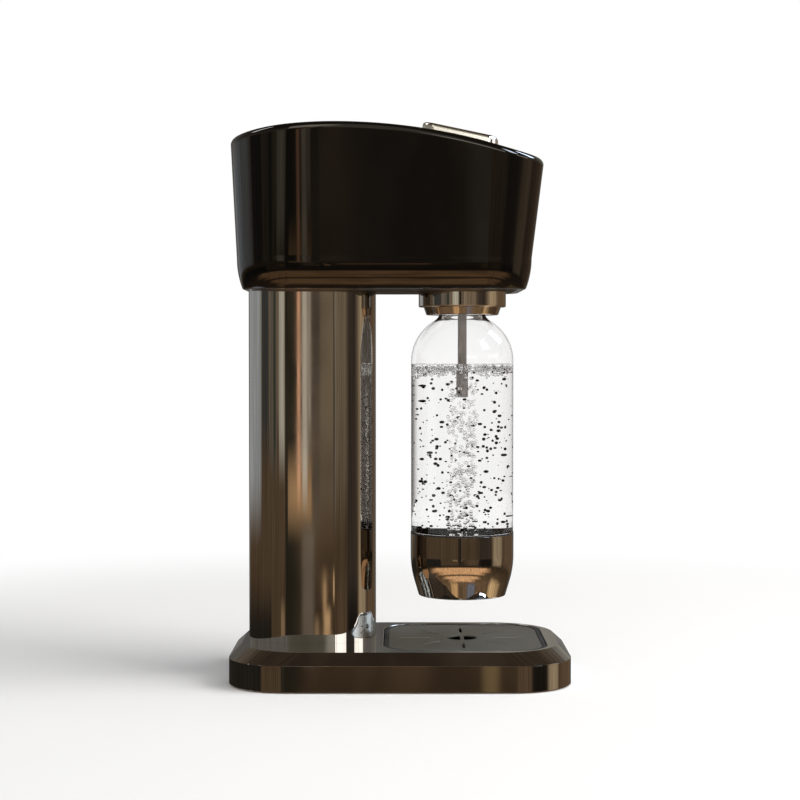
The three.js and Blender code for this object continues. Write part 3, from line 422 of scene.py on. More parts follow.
# The base is one skin: under the tray pocket, up round it, under the roof, down inside the wall, round the
# rim, up the wall, over the chamfer, across the flat top and down into the pocket.
def makeBase():
    look = baseLook
    pocket = planOf(*cadBoxOf("drip_dish"), look["pocketRadius"], look["dishGap"])
    middle = np.array([(pocket["rear"] + pocket["front"]) / 2, 0.0])
    low, top, wall, past = baseLow[2], baseHigh[2], look["wall"], look["cutPast"]
    roof = top - wall
    pocketLow = top - look["pocketDepth"]
    under = pocketLow - look["pocketWall"]
    neckWall, neckDrop = look["pocketNeck"]
    pocketRing, wellRing = planRing(pocket), planRing(pocket, -look["pocketWall"])
    innerRing = planRing(planOf(baseLow, baseHigh, look["cornerRadius"]), wall)
    rings = [atHeight(ring, under) for ring in between(middle, wellRing, [0.3, 0.97])]
    rings += [
        atHeight(wellRing, under),
        atHeight(wellRing, roof - neckDrop),
        atHeight(planRing(pocket, -neckWall), roof),
        atHeight(baseRing(look["chamferInset"] + wall), roof),
        atHeight(innerRing, look["upright"] - look["innerBend"]),
        atHeight(innerRing, low),
    ]
    profile = rounded([
        (wall, low),
        (look["footEdge"], low),
        (0.0, low + look["footEdge"], look["footRound"]),
        (0.0, look["upright"], look["edge"]),
        (look["chamferInset"], top, look["edge"]),
        (look["chamferInset"] + look["topBand"], top),
    ])[1:]
    rings += [atHeight(baseRing(inset), height) for inset, height in profile]
    topRing = baseRing(look["chamferInset"] + look["topBand"])
    lipRing = planRing(pocket, -look["lip"])
    rings += [atHeight(ring, top) for ring in between(topRing, lipRing, look["topShares"])]
    rings += lipRings(pocket, look["lip"], look["lipSteps"], lambda ring: top)
    rings += [atHeight(pocketRing, pocketLow + look["pocketEdge"]), atHeight(pocketRing, pocketLow)]
    rings += [atHeight(ring, pocketLow) for ring in between(pocketRing, middle, [0.03, 0.7])]
    base = skinOver("base_skin", rings, (*middle, under), (*middle, pocketLow))
    return cutRound(base, columnX, cadMiddle("cylinder_bottle")[1], look["holeRadius"], -past, top + past)


place(makeBase(), "machine", "chrome", "black_chrome", "base_shell", "dish_seat")
print("base made")

# The drip dish and its slotted plate

dishLook = {"cornerRadius": 29.5, "rim": 3.5, "ledge": 2.5, "floor": 2.0, "edge": 0.7,
            "footRound": 1.0, "ledgeRound": 0.2, "wellEdge": 0.5, "wellRound": 1.5,
            "plateGap": 0.3, "floorInset": 20.0}


# The dish goes from the middle of its underside out, up, over the rim, down to the ledge that carries the
# plate, and down into the well.
def makeDish():
    look = dishLook
    low, high = cadBoxOf("drip_dish")
    plan = planOf(low, high, look["cornerRadius"])
    middle = ((low[0] + high[0]) / 2, 0.0)
    ledge = cadBoxOf("drip_grille")[0][2] - look["plateGap"]
    well = low[2] + look["floor"]
    profile = rounded([
        (look["floorInset"], low[2]),
        (0, low[2], look["footRound"]),
        (0, high[2], look["edge"]),
        (look["rim"], high[2], look["edge"]),
        (look["rim"], ledge, look["ledgeRound"]),
        (look["rim"] + look["ledge"], ledge, look["wellEdge"]),
        (look["rim"] + look["ledge"], well, look["wellRound"]),
        (look["floorInset"], well),
    ], bend=5)
    rings = [atHeight(planRing(plan, inset), height) for inset, height in profile]
    return skinOver("dish_skin", rings, (*middle, low[2]), (*middle, well))


plateLook = {"cornerRadius": 25.7, "edge": 0.02, "slotStart": 25.0, "slotMargin": 8.2, "slotWidth": 2.3,
             "slotCount": 8, "slotSteps": 9, "drainRadius": 12.0, "drainSteps": 33, "bridge": 2.9,
             "sharpFrom": 30.0}


# The plate is a flat outline with holes, given a thickness and a fine round edge. A slot is a long oval that
# points at the axis of the bottle, and the drain is a circle with a bridge left across it.
def makePlate():
    look = plateLook
    low, high = cadBoxOf("drip_grille")
    loops = [planRing(planOf(low, high, look["cornerRadius"]))]
    spare = min(bottleX - low[0], high[0] - bottleX, high[1]) - look["slotMargin"]
    radius = look["slotWidth"] / 2
    half = np.linspace(-math.pi / 2, math.pi / 2, look["slotSteps"])
    oval = np.concatenate([
        np.column_stack([spare - radius + radius * np.cos(half), radius * np.sin(half)]),
        np.column_stack([look["slotStart"] + radius - radius * np.cos(half), -radius * np.sin(half)]),
    ])
    for turn in np.arange(look["slotCount"]) * 2 * math.pi / look["slotCount"]:
        spin = np.array([[math.cos(turn), math.sin(turn)], [-math.sin(turn), math.cos(turn)]])
        loops.append(oval @ spin + (bottleX, 0))
    cut = math.acos(look["bridge"] / 2 / look["drainRadius"])
    bow = np.linspace(-cut, cut, look["drainSteps"])
    arc = look["drainRadius"] * np.column_stack([np.cos(bow), np.sin(bow)])
    loops += [arc + (bottleX, 0), -arc + (bottleX, 0)]
    flat = bpy.data.curves.new("plate", "CURVE")
    flat.dimensions = "2D"
    flat.fill_mode = "BOTH"
    flat.extrude = ((high[2] - low[2]) / 2 - look["edge"]) * mm
    flat.bevel_depth = look["edge"] * mm
    flat.bevel_resolution = 2
    flat.offset = -look["edge"] * mm
    for loop in loops:
        spline = flat.splines.new("POLY")
        spline.points.add(len(loop) - 1)
        rows = np.column_stack([loop * mm, np.zeros(len(loop)), np.ones(len(loop))])
        spline.points.foreach_set("co", rows.ravel())
        spline.use_cyclic_u = True
    drawn = bpy.data.objects.new("plate_outline", flat)
    bpy.context.scene.collection.objects.link(drawn)
    mesh = shownMesh(drawn)
    bpy.data.objects.remove(drawn)
    points = np.zeros(len(mesh.vertices) * 3)
    mesh.vertices.foreach_get("co", points)
    points = points.reshape(-1, 3) + (0, 0, (low[2] + high[2]) / 2 * mm)
    mesh.vertices.foreach_set("co", points.ravel())
    mesh.polygons.foreach_set("use_smooth", np.ones(len(mesh.polygons), bool))
    mesh.set_sharp_from_angle(angle=math.radians(look["sharpFrom"]))
    plate = bpy.data.objects.new("drip_plate", mesh)
    bpy.context.scene.collection.objects.link(plate)
    return plate


place(makeDish(), "dish", "black", "black_plastic", "drip_dish")
place(makePlate(), "plate", "bronze", "bronze", "drip_grille")
print("dish and plate made")

# The column

columnLook = {"wall": 1.2, "standOff": 0.03, "rows": 40, "turnSteps": 73, "sideSteps": 12, "sideClose": 0.004}


# Two half circles joined by straight sides, from above.
def stadiumRing(x, length, radius, by=0.0):
    reach = length / 2 - radius
    turn = np.linspace(-math.pi / 2, math.pi / 2, columnLook["turnSteps"])
    side = evenShares(columnLook["sideSteps"], columnLook["sideClose"])
    across = (radius - by) * np.cos(turn)
    along = (radius - by) * np.sin(turn)
    xs = np.concatenate([x + reach + across, x + reach - 2 * reach * side,
                         x - reach - across, x - reach + 2 * reach * side])
    ys = np.concatenate([along, np.full(len(side), radius - by), -along, np.full(len(side), by - radius)])
    return np.column_stack([xs, ys])


def makeColumn():  # the skin closes the working gap over the base
    look = columnLook
    low, high = cadBoxOf("column_shell")
    length, radius = high[0] - low[0], high[1]
    foot = baseHigh[2] + look["standOff"]
    profile = [(0.0, height) for height in np.linspace(foot, high[2], look["rows"])]
    profile += [(look["wall"], high[2]), (look["wall"], foot)]
    rings = [atHeight(stadiumRing(columnX, length, radius, inset), height) for inset, height in profile]
    return skinOver("column_skin", rings, loop=True)


place(makeColumn(), "machine", "chrome", "black_chrome", "column_shell")
print("column made")

# The head and its button

headLook = {
    "sideLean": 6.5, "rearLean": 4.5, "frontLean": 9.1,
    "rearRadius": 49.0, "frontRadius": 42.0,
    "bendReach": 4.6, "bendRise": 24.0, "rimRadius": 2.0, "rimReach": 8.5,
    "topFillet": 4.5,
    "wall": 2.5,
    "frontArcRadius": 450.0, "rearArcRadius": 345.0, "peakReach": 100.0, "crown": 1.5,
    "frontReach": 38.0, "frontLift": 4.0,
    "openingGap": 0.9, "lip": 0.7, "lipSteps": 6,
    "outerSteps": 17, "innerSteps": 6, "wallClose": 0.01,  # of each side of the shell
    "topRows": 44, "topClose": 0.004, "ceilingShares": [0.02, 0.25, 0.5, 0.75, 0.98],
}
buttonLook = {"cornerRadius": 9.0, "edge": 3.2, "proud": 12.0, "slope": 0.21, "wall": 2.2, "skirt": 16.0,
              "footEdge": 0.3, "edgeSteps": 10, "sideShares": (0.4, 0.8, 0.985)}


# The top falls from its peak along an arc of a large circle to the front, and of a smaller one to the rear,
# less a share that grows as the square of the way out from the middle. Its front end is lifted by a share
# that grows as the square of the way along it.
def headTopAt(points):
    look = headLook
    along = points[:, 0] - (bottleX - look["peakReach"])
    radius = np.where(along > 0, look["frontArcRadius"], look["rearArcRadius"])
    fall = radius - np.sqrt(radius ** 2 - along ** 2)
    frontShare = np.clip((points[:, 0] - headHigh[0]) / look["frontReach"] + 1, 0, 1)
    lift = look["frontLift"] * frontShare ** 2
    return headHigh[2] - fall - look["crown"] * (points[:, 1] / headHigh[1]) ** 2 + lift


def headPlans():  # the outlines at the foot and at the top of the leaning wall
    look = headLook
    top = {**planOf(headLow, headHigh, look["rearRadius"]), "frontRadius": look["frontRadius"]}
    low = {"rear": top["rear"] + look["rearLean"], "front": top["front"] - look["frontLean"],
           "half": top["half"] - look["sideLean"], "rearRadius": look["rearRadius"] - look["sideLean"],
           "frontRadius": look["frontRadius"] - look["sideLean"]}
    return low, top


# The lower bend of the head as rows of inset and height: inset = reach * (1 - height / rise) squared, and
# below that an arc of the rim's radius from the slope reached there to level.
def lowerBend(look, steps):
    reach, rise, radius = look["bendReach"], look["bendRise"], look["rimRadius"]
    start = 0.0
    for _ in range(8):  # closes in on the height where the arc and the curve have the same slope
        slope = math.atan(2 * reach / rise * (1 - start / rise))
        start = radius * (1 - math.sin(slope))
    slopes = np.linspace(math.pi / 2, slope, steps)
    first = reach * (1 - start / rise) ** 2
    arc = np.column_stack([first + radius * (math.cos(slope) - np.cos(slopes)),
                           radius * (1 - np.sin(slopes))])
    heights = start + (rise - start) * np.linspace(0, 1, steps)[1:]
    return np.concatenate([arc, np.column_stack([reach * (1 - heights / rise) ** 2, heights])])


# A ring of the wall at a share of the way up it. x follows that share, but y follows the height itself, so
# that the two long sides stay flat under the arch.
def wallRing(offset, inset, share):
    look = headLook
    lowPlan, topPlan = headPlans()
    foot = headLow[2] + look["bendRise"]
    full = headHigh[2] - look["topFillet"] - foot
    height = foot + (headTopAt(planRing(topPlan, offset)) - offset - look["topFillet"] - foot) * share
    low, top = planRing(lowPlan, offset + inset), planRing(topPlan, offset + inset)
    shares = np.column_stack([np.full(len(height), share), (height - foot) / full])
    return low + (top - low) * shares, height


# The head goes from its lower rim out round the bend, up the leaning wall, over the top fillet, in along the
# arched top to the lip round the button, and back inside at the thickness of the wall.
def headSide(offset, fine):
    look = headLook
    lowPlan, topPlan = headPlans()
    bend = lowerBend(look, fine)
    if offset > 0:  # the inside starts at the inner edge of the rim
        bend = np.concatenate([[(look["rimReach"], 0.0)], bend[fine:]])
    rings = [atHeight(planRing(lowPlan, offset + inset), headLow[2] + height) for inset, height in bend]
    for share in evenShares(fine, look["wallClose"]):
        rings.append(atHeight(*wallRing(offset, 0.0, share)))
    for turn in np.linspace(0, math.pi / 2, max(fine * 2 // 3, 5)):
        ring, _ = wallRing(offset, look["topFillet"] * (1 - math.cos(turn)), 1.0)
        rings.append(atHeight(ring, headTopAt(ring) - offset - look["topFillet"] * (1 - math.sin(turn))))
    return rings


def makeHead():
    look = headLook
    grow = look["openingGap"]
    opening = planOf(*cadBoxOf("button_cap"), buttonLook["cornerRadius"] + grow, grow)
    rings = headSide(0.0, look["outerSteps"])
    edge = wallRing(0.0, look["topFillet"], 1.0)[0]
    shares = evenShares(look["topRows"], look["topClose"])
    for ring in between(edge, planRing(opening, -look["lip"]), shares):
        rings.append(atHeight(ring, headTopAt(ring)))
    rings += lipRings(opening, look["lip"], look["lipSteps"], headTopAt)
    inner = planRing(opening)
    rings.append(atHeight(inner, headTopAt(inner) - look["wall"]))
    innerEdge = wallRing(look["wall"], look["topFillet"], 1.0)[0]
    for ring in between(inner, innerEdge, look["ceilingShares"]):
        rings.append(atHeight(ring, headTopAt(ring) - look["wall"]))
    rings += headSide(look["wall"], look["innerSteps"])[::-1]
    return skinOver("head_skin", rings, loop=True)


# The button is a cap that leans to the front: straight sides, a round edge and a top that falls with x.
def makeButton():
    look = buttonLook
    low, high = cadBoxOf("button_cap")
    plan = planOf(low, high, look["cornerRadius"])
    centre = np.array([(low[0] + high[0]) / 2, 0.0])
    stand = headTopAt(np.array([[bottleX, 0.0]]))[0]
    peak = stand + look["proud"]
    skirt = stand - look["skirt"]
    foot = skirt + look["footEdge"]
    edge, wall = look["edge"], look["wall"]

    def topAt(points):
        return peak - look["slope"] * (points[:, 0] - centre[0])

    inner, outer, rim = planRing(plan, wall), planRing(plan), planRing(plan, edge)
    rings = [atHeight(ring, topAt(ring) - wall) for ring in between(centre, inner, [0.2, 0.97])]
    rings += [atHeight(inner, topAt(inner) - wall), atHeight(inner, skirt)]
    rings += [atHeight(planRing(plan, look["footEdge"]), skirt), atHeight(outer, foot)]
    rise = topAt(outer) - edge - foot
    rings += [atHeight(outer, foot + rise * share) for share in look["sideShares"]]
    for turn in np.linspace(0, math.pi / 2, look["edgeSteps"]):
        ring = planRing(plan, edge * (1 - math.cos(turn)))
        rings.append(atHeight(ring, topAt(ring) - edge * (1 - math.sin(turn))))
    rings += [atHeight(ring, topAt(ring)) for ring in between(rim, centre, [0.01, 0.3, 0.6, 0.9])]
    return skinOver("button_skin", rings, (*centre, peak - wall), (*centre, peak))


place(makeHead(), "machine", "gloss", "gloss_black", "head_shell")
place(makeButton(), "lever", "nickel", "nickel", "button_cap")
print("head and button made")

# The collar and the nozzle tube

collarLook = {"radius": 35.0, "stepRadius": 31.0, "stepLowRadius": 28.75, "stepHeight": 6.3, "bore": 26.3,
              "mouth": 18.75, "lip": 2.3, "edge": 1.1, "innerEdge": 0.3, "mouthEdge": 0.5, "stepRound": 0.25,
              "topEdge": 0.4, "seam": (1.0, 1.1)}
tubeLook = {"bore": 1.6, "edge": 1.1, "innerEdge": 0.3, "seam": 0.5}  # the seam is where its profile closes


def makeCollar():
    look = collarLook
    low, high = cadBoxOf("bottle_collar")
    step, lip = low[2] + look["stepHeight"], low[2] + look["lip"]
    profile = rounded([
        (look["mouth"], low[2] + look["seam"][0]),
        (look["mouth"], low[2], look["mouthEdge"]),
        (look["stepLowRadius"], low[2], look["edge"]),
        (look["stepRadius"], step, look["stepRound"]),
        (look["radius"], step, look["edge"]),
        (look["radius"], high[2], look["topEdge"]),
        (look["bore"], high[2], look["innerEdge"]),
        (look["bore"], lip, look["innerEdge"]),
        (look["mouth"], lip, look["innerEdge"]),
        (look["mouth"], low[2] + look["seam"][1]),
    ])
    return turnedPiece("collar_skin", profile, bottleX, loop=True)


def makeTube():
    look = tubeLook
    low, high = cadBoxOf("nozzle_tube")
    outer, bore, middle = (high[0] - low[0]) / 2, look["bore"], (low[2] + high[2]) / 2
    profile = rounded([
        (bore, middle),
        (bore, low[2], look["innerEdge"]),
        (outer, low[2], look["edge"]),
        (outer, high[2], look["innerEdge"]),
        (bore, high[2], look["innerEdge"]),
        (bore, middle + look["seam"]),
    ])
    return turnedPiece("tube_skin", profile, bottleX, steps=64, loop=True)


place(makeCollar(), "machine", "collar", "black_chrome", "bottle_collar")
place(makeTube(), "machine", "tube", "tube_plastic", "nozzle_tube")
print("collar and tube made")

# The bottle, its cup and its water

bottleLook = {
    "radius": 41.0, "wall": 1.2, "neckRadius": 18.15, "neckWall": 2.2, "neckFillet": 5.0,
    "mouthOuter": (0.5, 0.6), "mouthInner": (0.4, 0.5),  # how far its slanted edges go across and down
    "shoulderFoot": 252.3, "shoulderRise": 38.5, "domeSteps": 28, "filletSteps": 9, "turnSteps": 144,
    "foot": 66.1, "footRadius": 33.2, "coneTop": 86.3, "inCup": 40.1, "overCup": 0.3,
    "dimple": 7.0, "dimpleBend": (0.5, 0.62),  # where it bends: shares of its reach and of its rise
    # heel, toe and lifts are pairs, for the outside of the wall and for its inside
    "heel": (4.0, 4.6), "toe": (0.5, 1.7),
    "dimpleRound": 8.0, "heelRound": 3.0, "toeRound": 2.0,
    "coneRound": 12.0, "rimRound": 0.6, "stepRound": 0.8,
    "coneLift": (0.0, 0.6), "rimLift": (0.0, 0.8), "stepLift": (1.2, 2.0),
    "waterTop": 249.5, "waterBow": (2.5, 0.8), "waterRounds": (0.5, 2.0), "waterGap": 0.05,
}
cupLook = {"floorRadius": 34.8, "coneHeight": 22.0, "bend": 73.0, "wall": 1.0, "floorWall": 1.5, "edge": 0.8,
           "rimEdge": 0.2, "lip": 0.1, "lipHeight": 1.4, "lipEdge": 0.1, "innerRound": 1.0}


# Half an ellipse: radius = widest * cos t and height = foot + rise * sin t. Near the neck it leaves the
# ellipse along a curve, (1 - t)^2 of its start, 2t(1 - t) of the corner that the ellipse and the neck make,
# and t^2 of a place as far up the neck.
def shoulder(inset):
    look = bottleLook
    widest = look["radius"] - inset
    neck = look["neckRadius"] - (look["neckWall"] if inset else 0.0)
    rise = look["shoulderRise"] - inset

    def domeAt(turn):
        return np.column_stack([widest * np.cos(turn), look["shoulderFoot"] + rise * np.sin(turn)])

    dome = domeAt(np.linspace(0, math.acos((neck + look["neckFillet"]) / widest), look["domeSteps"]))
    corner = domeAt(np.array([math.acos(neck / widest)]))
    t = np.linspace(0, 1, look["filletSteps"])[1:, None]
    fillet = (1 - t) ** 2 * dome[-1:] + 2 * t * (1 - t) * corner + t ** 2 * (corner + (0, look["neckFillet"]))
    return np.concatenate([dome, fillet])


# The corners of the bottle from the middle of its foot up to the straight wall, on its outside, or on the
# inside where a wall is given.
def bottleCorners(wall=0.0):
    look = bottleLook
    side = 1 if wall else 0
    foot = look["foot"] + wall
    rim = cadBoxOf("bottle_cup")[1][2] + look["overCup"]
    reach, share = look["dimpleBend"]
    return [
        (0, foot + look["dimple"]),
        (look["footRadius"] * reach, foot + look["dimple"] * share, look["dimpleRound"]),
        (look["footRadius"] - look["heel"][side], foot, look["heelRound"]),
        (look["footRadius"] - look["toe"][side], foot, look["toeRound"]),
        (look["inCup"] - wall, look["coneTop"] + look["coneLift"][side], look["coneRound"]),
        (look["inCup"] - wall, rim + look["rimLift"][side], look["rimRound"]),
        (look["radius"] - wall, rim + look["stepLift"][side], look["stepRound"]),
    ]


def makeBottle():
    look = bottleLook
    wall, radius = look["wall"], look["neckRadius"]
    bore = radius - look["neckWall"]
    (outward, down), (inward, drop) = look["mouthOuter"], look["mouthInner"]
    mouth = cadBoxOf("bottle_shell")[1][2]
    outside = rounded(bottleCorners() + [(look["radius"], look["shoulderFoot"])])
    inside = rounded(bottleCorners(wall) + [(look["radius"] - wall, look["shoulderFoot"])])
    neck = [(radius, mouth - down), (radius - outward, mouth), (bore + inward, mouth), (bore, mouth - drop)]
    profile = np.concatenate([outside[:-1], shoulder(0.0), neck, shoulder(wall)[::-1], inside[-2::-1]])
    return turnedPiece("bottle_skin", profile, bottleX, steps=bottleLook["turnSteps"])


def makeWater():  # it fills the bottle to a level surface with a round edge
    look = bottleLook
    wall = look["wall"] - look["waterGap"]
    reach, top = look["radius"] - wall, look["waterTop"]
    (inward, climb), (edge, bow) = look["waterBow"], look["waterRounds"]
    surface = [(reach, top + climb, edge), (reach - inward, top, bow), (0, top)]
    return turnedPiece("water_body", rounded(bottleCorners(wall) + surface), bottleX, look["turnSteps"])


bubbleLook = {
    "seed": 7, "rising": 420, "under": 420, "loose": 400, "deep": 130,
    "sizes": (0.6, 1.6), "darkSizes": (0.3, 1.3), "sides": 8, "rows": 5,
    "reach": 37.5, "columnReach": 9.5,            # from the axis
    "columnFoot": 103.0, "columnPastTube": 12.0,  # the column ends this far above the tube's mouth
    "surfaceGap": 1.5, "surfaceSpread": 3.5,
    "looseFoot": 110.0, "looseGap": 4.0, "looseReach": (0.2, 1.0), "looseCrowding": 0.6,
    "deepFoot": 108.0, "deepSpread": 5.0,
    "clearOfTube": (6.0, 2.0),                    # beside it and below it
}


# All bubbles of one kind are one piece: each is the same coarse ball, times its size, moved to its place.
# Clear ones face inwards.
def makeBalls(name, centres, sizes, inwards):
    sides, rows = bubbleLook["sides"], bubbleLook["rows"]
    turn = np.linspace(0, 2 * math.pi, sides, endpoint=False)
    climb = np.linspace(-math.pi / 2, math.pi / 2, rows + 2)[1:-1, None]
    ball = np.stack([np.cos(climb) * np.cos(turn), np.cos(climb) * np.sin(turn),
                     np.sin(climb) * np.ones(sides)], axis=-1).reshape(-1, 3)
    ball = np.concatenate([ball, [(0, 0, -1), (0, 0, 1)]])
    quads, fans = ringFaces(rows, sides, True, True)
    quads = quads.reshape(-1, 4)
    if inwards:
        quads, fans = quads[:, ::-1], fans[:, ::-1]
    points = centres[:, None, :] + ball[None] * sizes[:, None, None]
    shift = (np.arange(len(centres)) * len(ball))[:, None, None]
    return makePiece(name, points, quads[None] + shift, fans[None] + shift, sharpFrom=180)


# Clear bubbles rise in a column under the tube and gather below the surface. Dark ones, opaque balls in
# painted shade, hang all over the water, more of them near the foot. None touches the tube.
def makeBubbles():
    look = bubbleLook
    chance = np.random.default_rng(look["seed"])
    top = bottleLook["waterTop"]
    tubeLow = cadBoxOf("nozzle_tube")[0][2]
    reach = look["reach"]

    def scatter(away, height, sizes):
        angle = chance.uniform(0, 2 * math.pi, len(away))
        size = chance.uniform(*sizes, len(away))
        centres = np.column_stack([bottleX + away * np.cos(angle), away * np.sin(angle), height])
        beside, below = look["clearOfTube"]
        clear = (away > beside) | (height < tubeLow - below)
        return centres[clear], size[clear]

    def even(count):  # shares of the way out that fill a round evenly
        return np.sqrt(chance.uniform(0, 1, count))

    count = look["rising"]
    rising = scatter(look["columnReach"] * even(count),
                     chance.uniform(look["columnFoot"], tubeLow + look["columnPastTube"], count),
                     look["sizes"])
    count = look["under"]
    under = scatter(reach * even(count),
                    top - look["surfaceGap"] - np.abs(chance.normal(0, look["surfaceSpread"], count)),
                    look["sizes"])
    count = look["loose"]
    loose = scatter(reach * chance.uniform(*look["looseReach"], count) ** look["looseCrowding"],
                    chance.uniform(look["looseFoot"], top - look["looseGap"], count), look["darkSizes"])
    count = look["deep"]
    deep = scatter(reach * even(count),
                   look["deepFoot"] + np.abs(chance.normal(0, look["deepSpread"], count)), look["darkSizes"])
    clear = [np.concatenate(both) for both in zip(rising, under)]
    dark = [np.concatenate(both) for both in zip(loose, deep)]
    return makeBalls("bubbles", *clear, True), makeBalls("dark_bubbles", *dark, False)


def makeCup():
    look = cupLook
    low, high = cadBoxOf("bottle_cup")
    radius, inner, lipRadius = high[1], high[1] - look["wall"], high[1] - look["lip"]
    cone, lipTop = low[2] + look["coneHeight"], high[2] + look["lipHeight"]
    profile = rounded([
        (0, low[2]),
        (look["floorRadius"], low[2], look["edge"]),
        (radius, cone, look["bend"]),
        (radius, high[2], look["rimEdge"]),
        (lipRadius, high[2]),
        (lipRadius, lipTop, look["lipEdge"]),
        (inner, lipTop, look["lipEdge"]),
        (inner, cone, look["bend"]),
        (look["floorRadius"] - look["wall"], low[2] + look["floorWall"], look["innerRound"]),
        (0, low[2] + look["floorWall"]),
    ])
    return turnedPiece("cup_skin", profile, bottleX, steps=bottleLook["turnSteps"])


# The rim and the inside of the cup are dark, painted shade in place of the light in its hollow and on its
# rim: the faces there look up or towards the axis.
def paintCupShade(piece):
    mesh = piece.data
    normals, centres = np.zeros(len(mesh.polygons) * 3), np.zeros(len(mesh.polygons) * 3)
    mesh.polygons.foreach_get("normal", normals)
    mesh.polygons.foreach_get("center", centres)
    normals, centres = normals.reshape(-1, 3), centres.reshape(-1, 3) - (bottleX * mm, 0, 0)
    rim = cadBoxOf("bottle_cup")[1][2] * mm
    inward = (normals[:, :2] * centres[:, :2]).sum(axis=1) < 0
    dark = inward | (normals[:, 2] > 0.5) | (centres[:, 2] > rim)
    # the black plastic here paints shade on the cup
    mesh.materials.append(finishes["black"])
    mesh.polygons.foreach_set("material_index", dark.astype(int))


place(makeBottle(), "bottle", "clear", "clear_plastic", "bottle_shell")
paintCupShade(place(makeCup(), "bottle", "chrome", "black_chrome", "bottle_cup"))
place(makeWater(), "bottle", "water", "clear_plastic")
clearBubbles, darkBubbles = makeBubbles()
place(clearBubbles, "bottle", "bubble", "clear_plastic")
# the dark bubbles carry painted shade
place(darkBubbles, "bottle", "darkBubble", "clear_plastic")
print("bottle made")

# The return spring of the lever, at the length the CAD gives

springLook = {"turns": 4, "turnSteps": 24, "wireSides": 10, "wire": 0.7, "endGap": 0.55, "pressedShare": 0.8}


# A wire on a helix: radius and angle place its middle, and the height climbs slowly over the first and the
# last turn and evenly between them. Round the middle the wire is a circle.
def makeSpring():
    look = springLook
    low, high = cadBoxOf("lever_spring")
    radius = (high[1] - low[1]) / 2 - look["wire"]
    pinched = 2 * look["wire"] + look["endGap"]
    turns = np.linspace(0, look["turns"], look["turns"] * look["turnSteps"] + 1)
    free = high[2] - low[2] - 2 * look["wire"]
    climb = np.interp(turns, [0, 1, look["turns"] - 1, look["turns"]], [0, pinched, free - pinched, free])
    angle = turns[:, None] * 2 * math.pi
    side = np.linspace(0, 2 * math.pi, look["wireSides"], endpoint=False)
    across = radius + look["wire"] * np.cos(side)
    middle = low[2] + look["wire"] + climb
    rings = np.stack([columnX + across * np.cos(angle), across * np.sin(angle),
                      middle[:, None] + look["wire"] * np.sin(side)], axis=-1)
    ends = [(columnX + radius, 0.0, middle[i]) for i in (0, -1)]
    return skinOver("spring_wire", rings[:, ::-1], ends[0], ends[1])


def placeSpring():
    spring = place(makeSpring(), "machine", "steel", "steel", "lever_spring")
    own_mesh(spring)


placeSpring()
print("spring made")

# Finishes of the CAD nodes that stay

cadFinishes = {  # by the first letters of the nodes' names
    "black": ("base_plate", "column_foot", "column_head", "head_undercover", "gas_hose", "thread_ring",
              "nozzle_block", "tube_nut"),
    "rubber": ("foot", "cylinder_seal", "bottle_gasket"),
    "steel": ("base_screw", "head_screw", "valve_pin", "push_rod", "head_chassis", "lever_bracket",
              "lever_pin", "lever_arm"),
    "brass": ("cylinder_valve", "hose_fitting", "relief_valve"),
    "aluminium": ("cylinder_bottle", "valve_block"),
}

for name, node in nodes.items():
    finish = next((key for key, starts in cadFinishes.items() if name.startswith(starts)), None)
    if finish is None:
        continue
    if not node.material_slots:
        node.data.materials.append(finishes[finish])
    for materialSlot in node.material_slots:
        materialSlot.material = finishes[finish]
print("CAD nodes finished")

# The stage: floor, room, lamps and camera

stageLook = {
    "size": 2.4,
    "floorColour": (0.93, 0.93, 0.93),
    "paleFrom": 0.42,      # metres from the middle where the floor starts to turn plain white
    "paleTo": 0.95,
}


def makeFloor():  # gloss doesn't see the floor but the lower half of the room
    look = stageLook
    half = look["size"] / 2 / mm
    corners = [(-half, -half, 0), (half, -half, 0), (half, half, 0), (-half, half, 0)]
    floor = makePiece("floor", corners, [(0, 1, 2, 3)])
    material = newFinish("pale_floor", {"Base Color": look["floorColour"], "Roughness": 1.0,
                                        "Specular IOR Level": 0.0})
    tree = material.node_tree
    where = addNode(tree, "TexCoord").outputs["Object"]
    far = addNode(tree, "VectorMath", {0: where}, operation="LENGTH").outputs["Value"]
    fade = ramped(tree, far, look["paleFrom"], look["paleTo"], smooth=True)
    lit = tree.nodes["Principled BSDF"].outputs["BSDF"]
    glow = addNode(tree, "Emission").outputs["Emission"]
    blend = addNode(tree, "MixShader", {"Fac": fade, 1: lit, 2: glow}).outputs["Shader"]
    setSocket(tree, tree.nodes["Material Output"].inputs["Surface"], blend)
    floor.data.materials.append(material)
    floor.visible_glossy = False


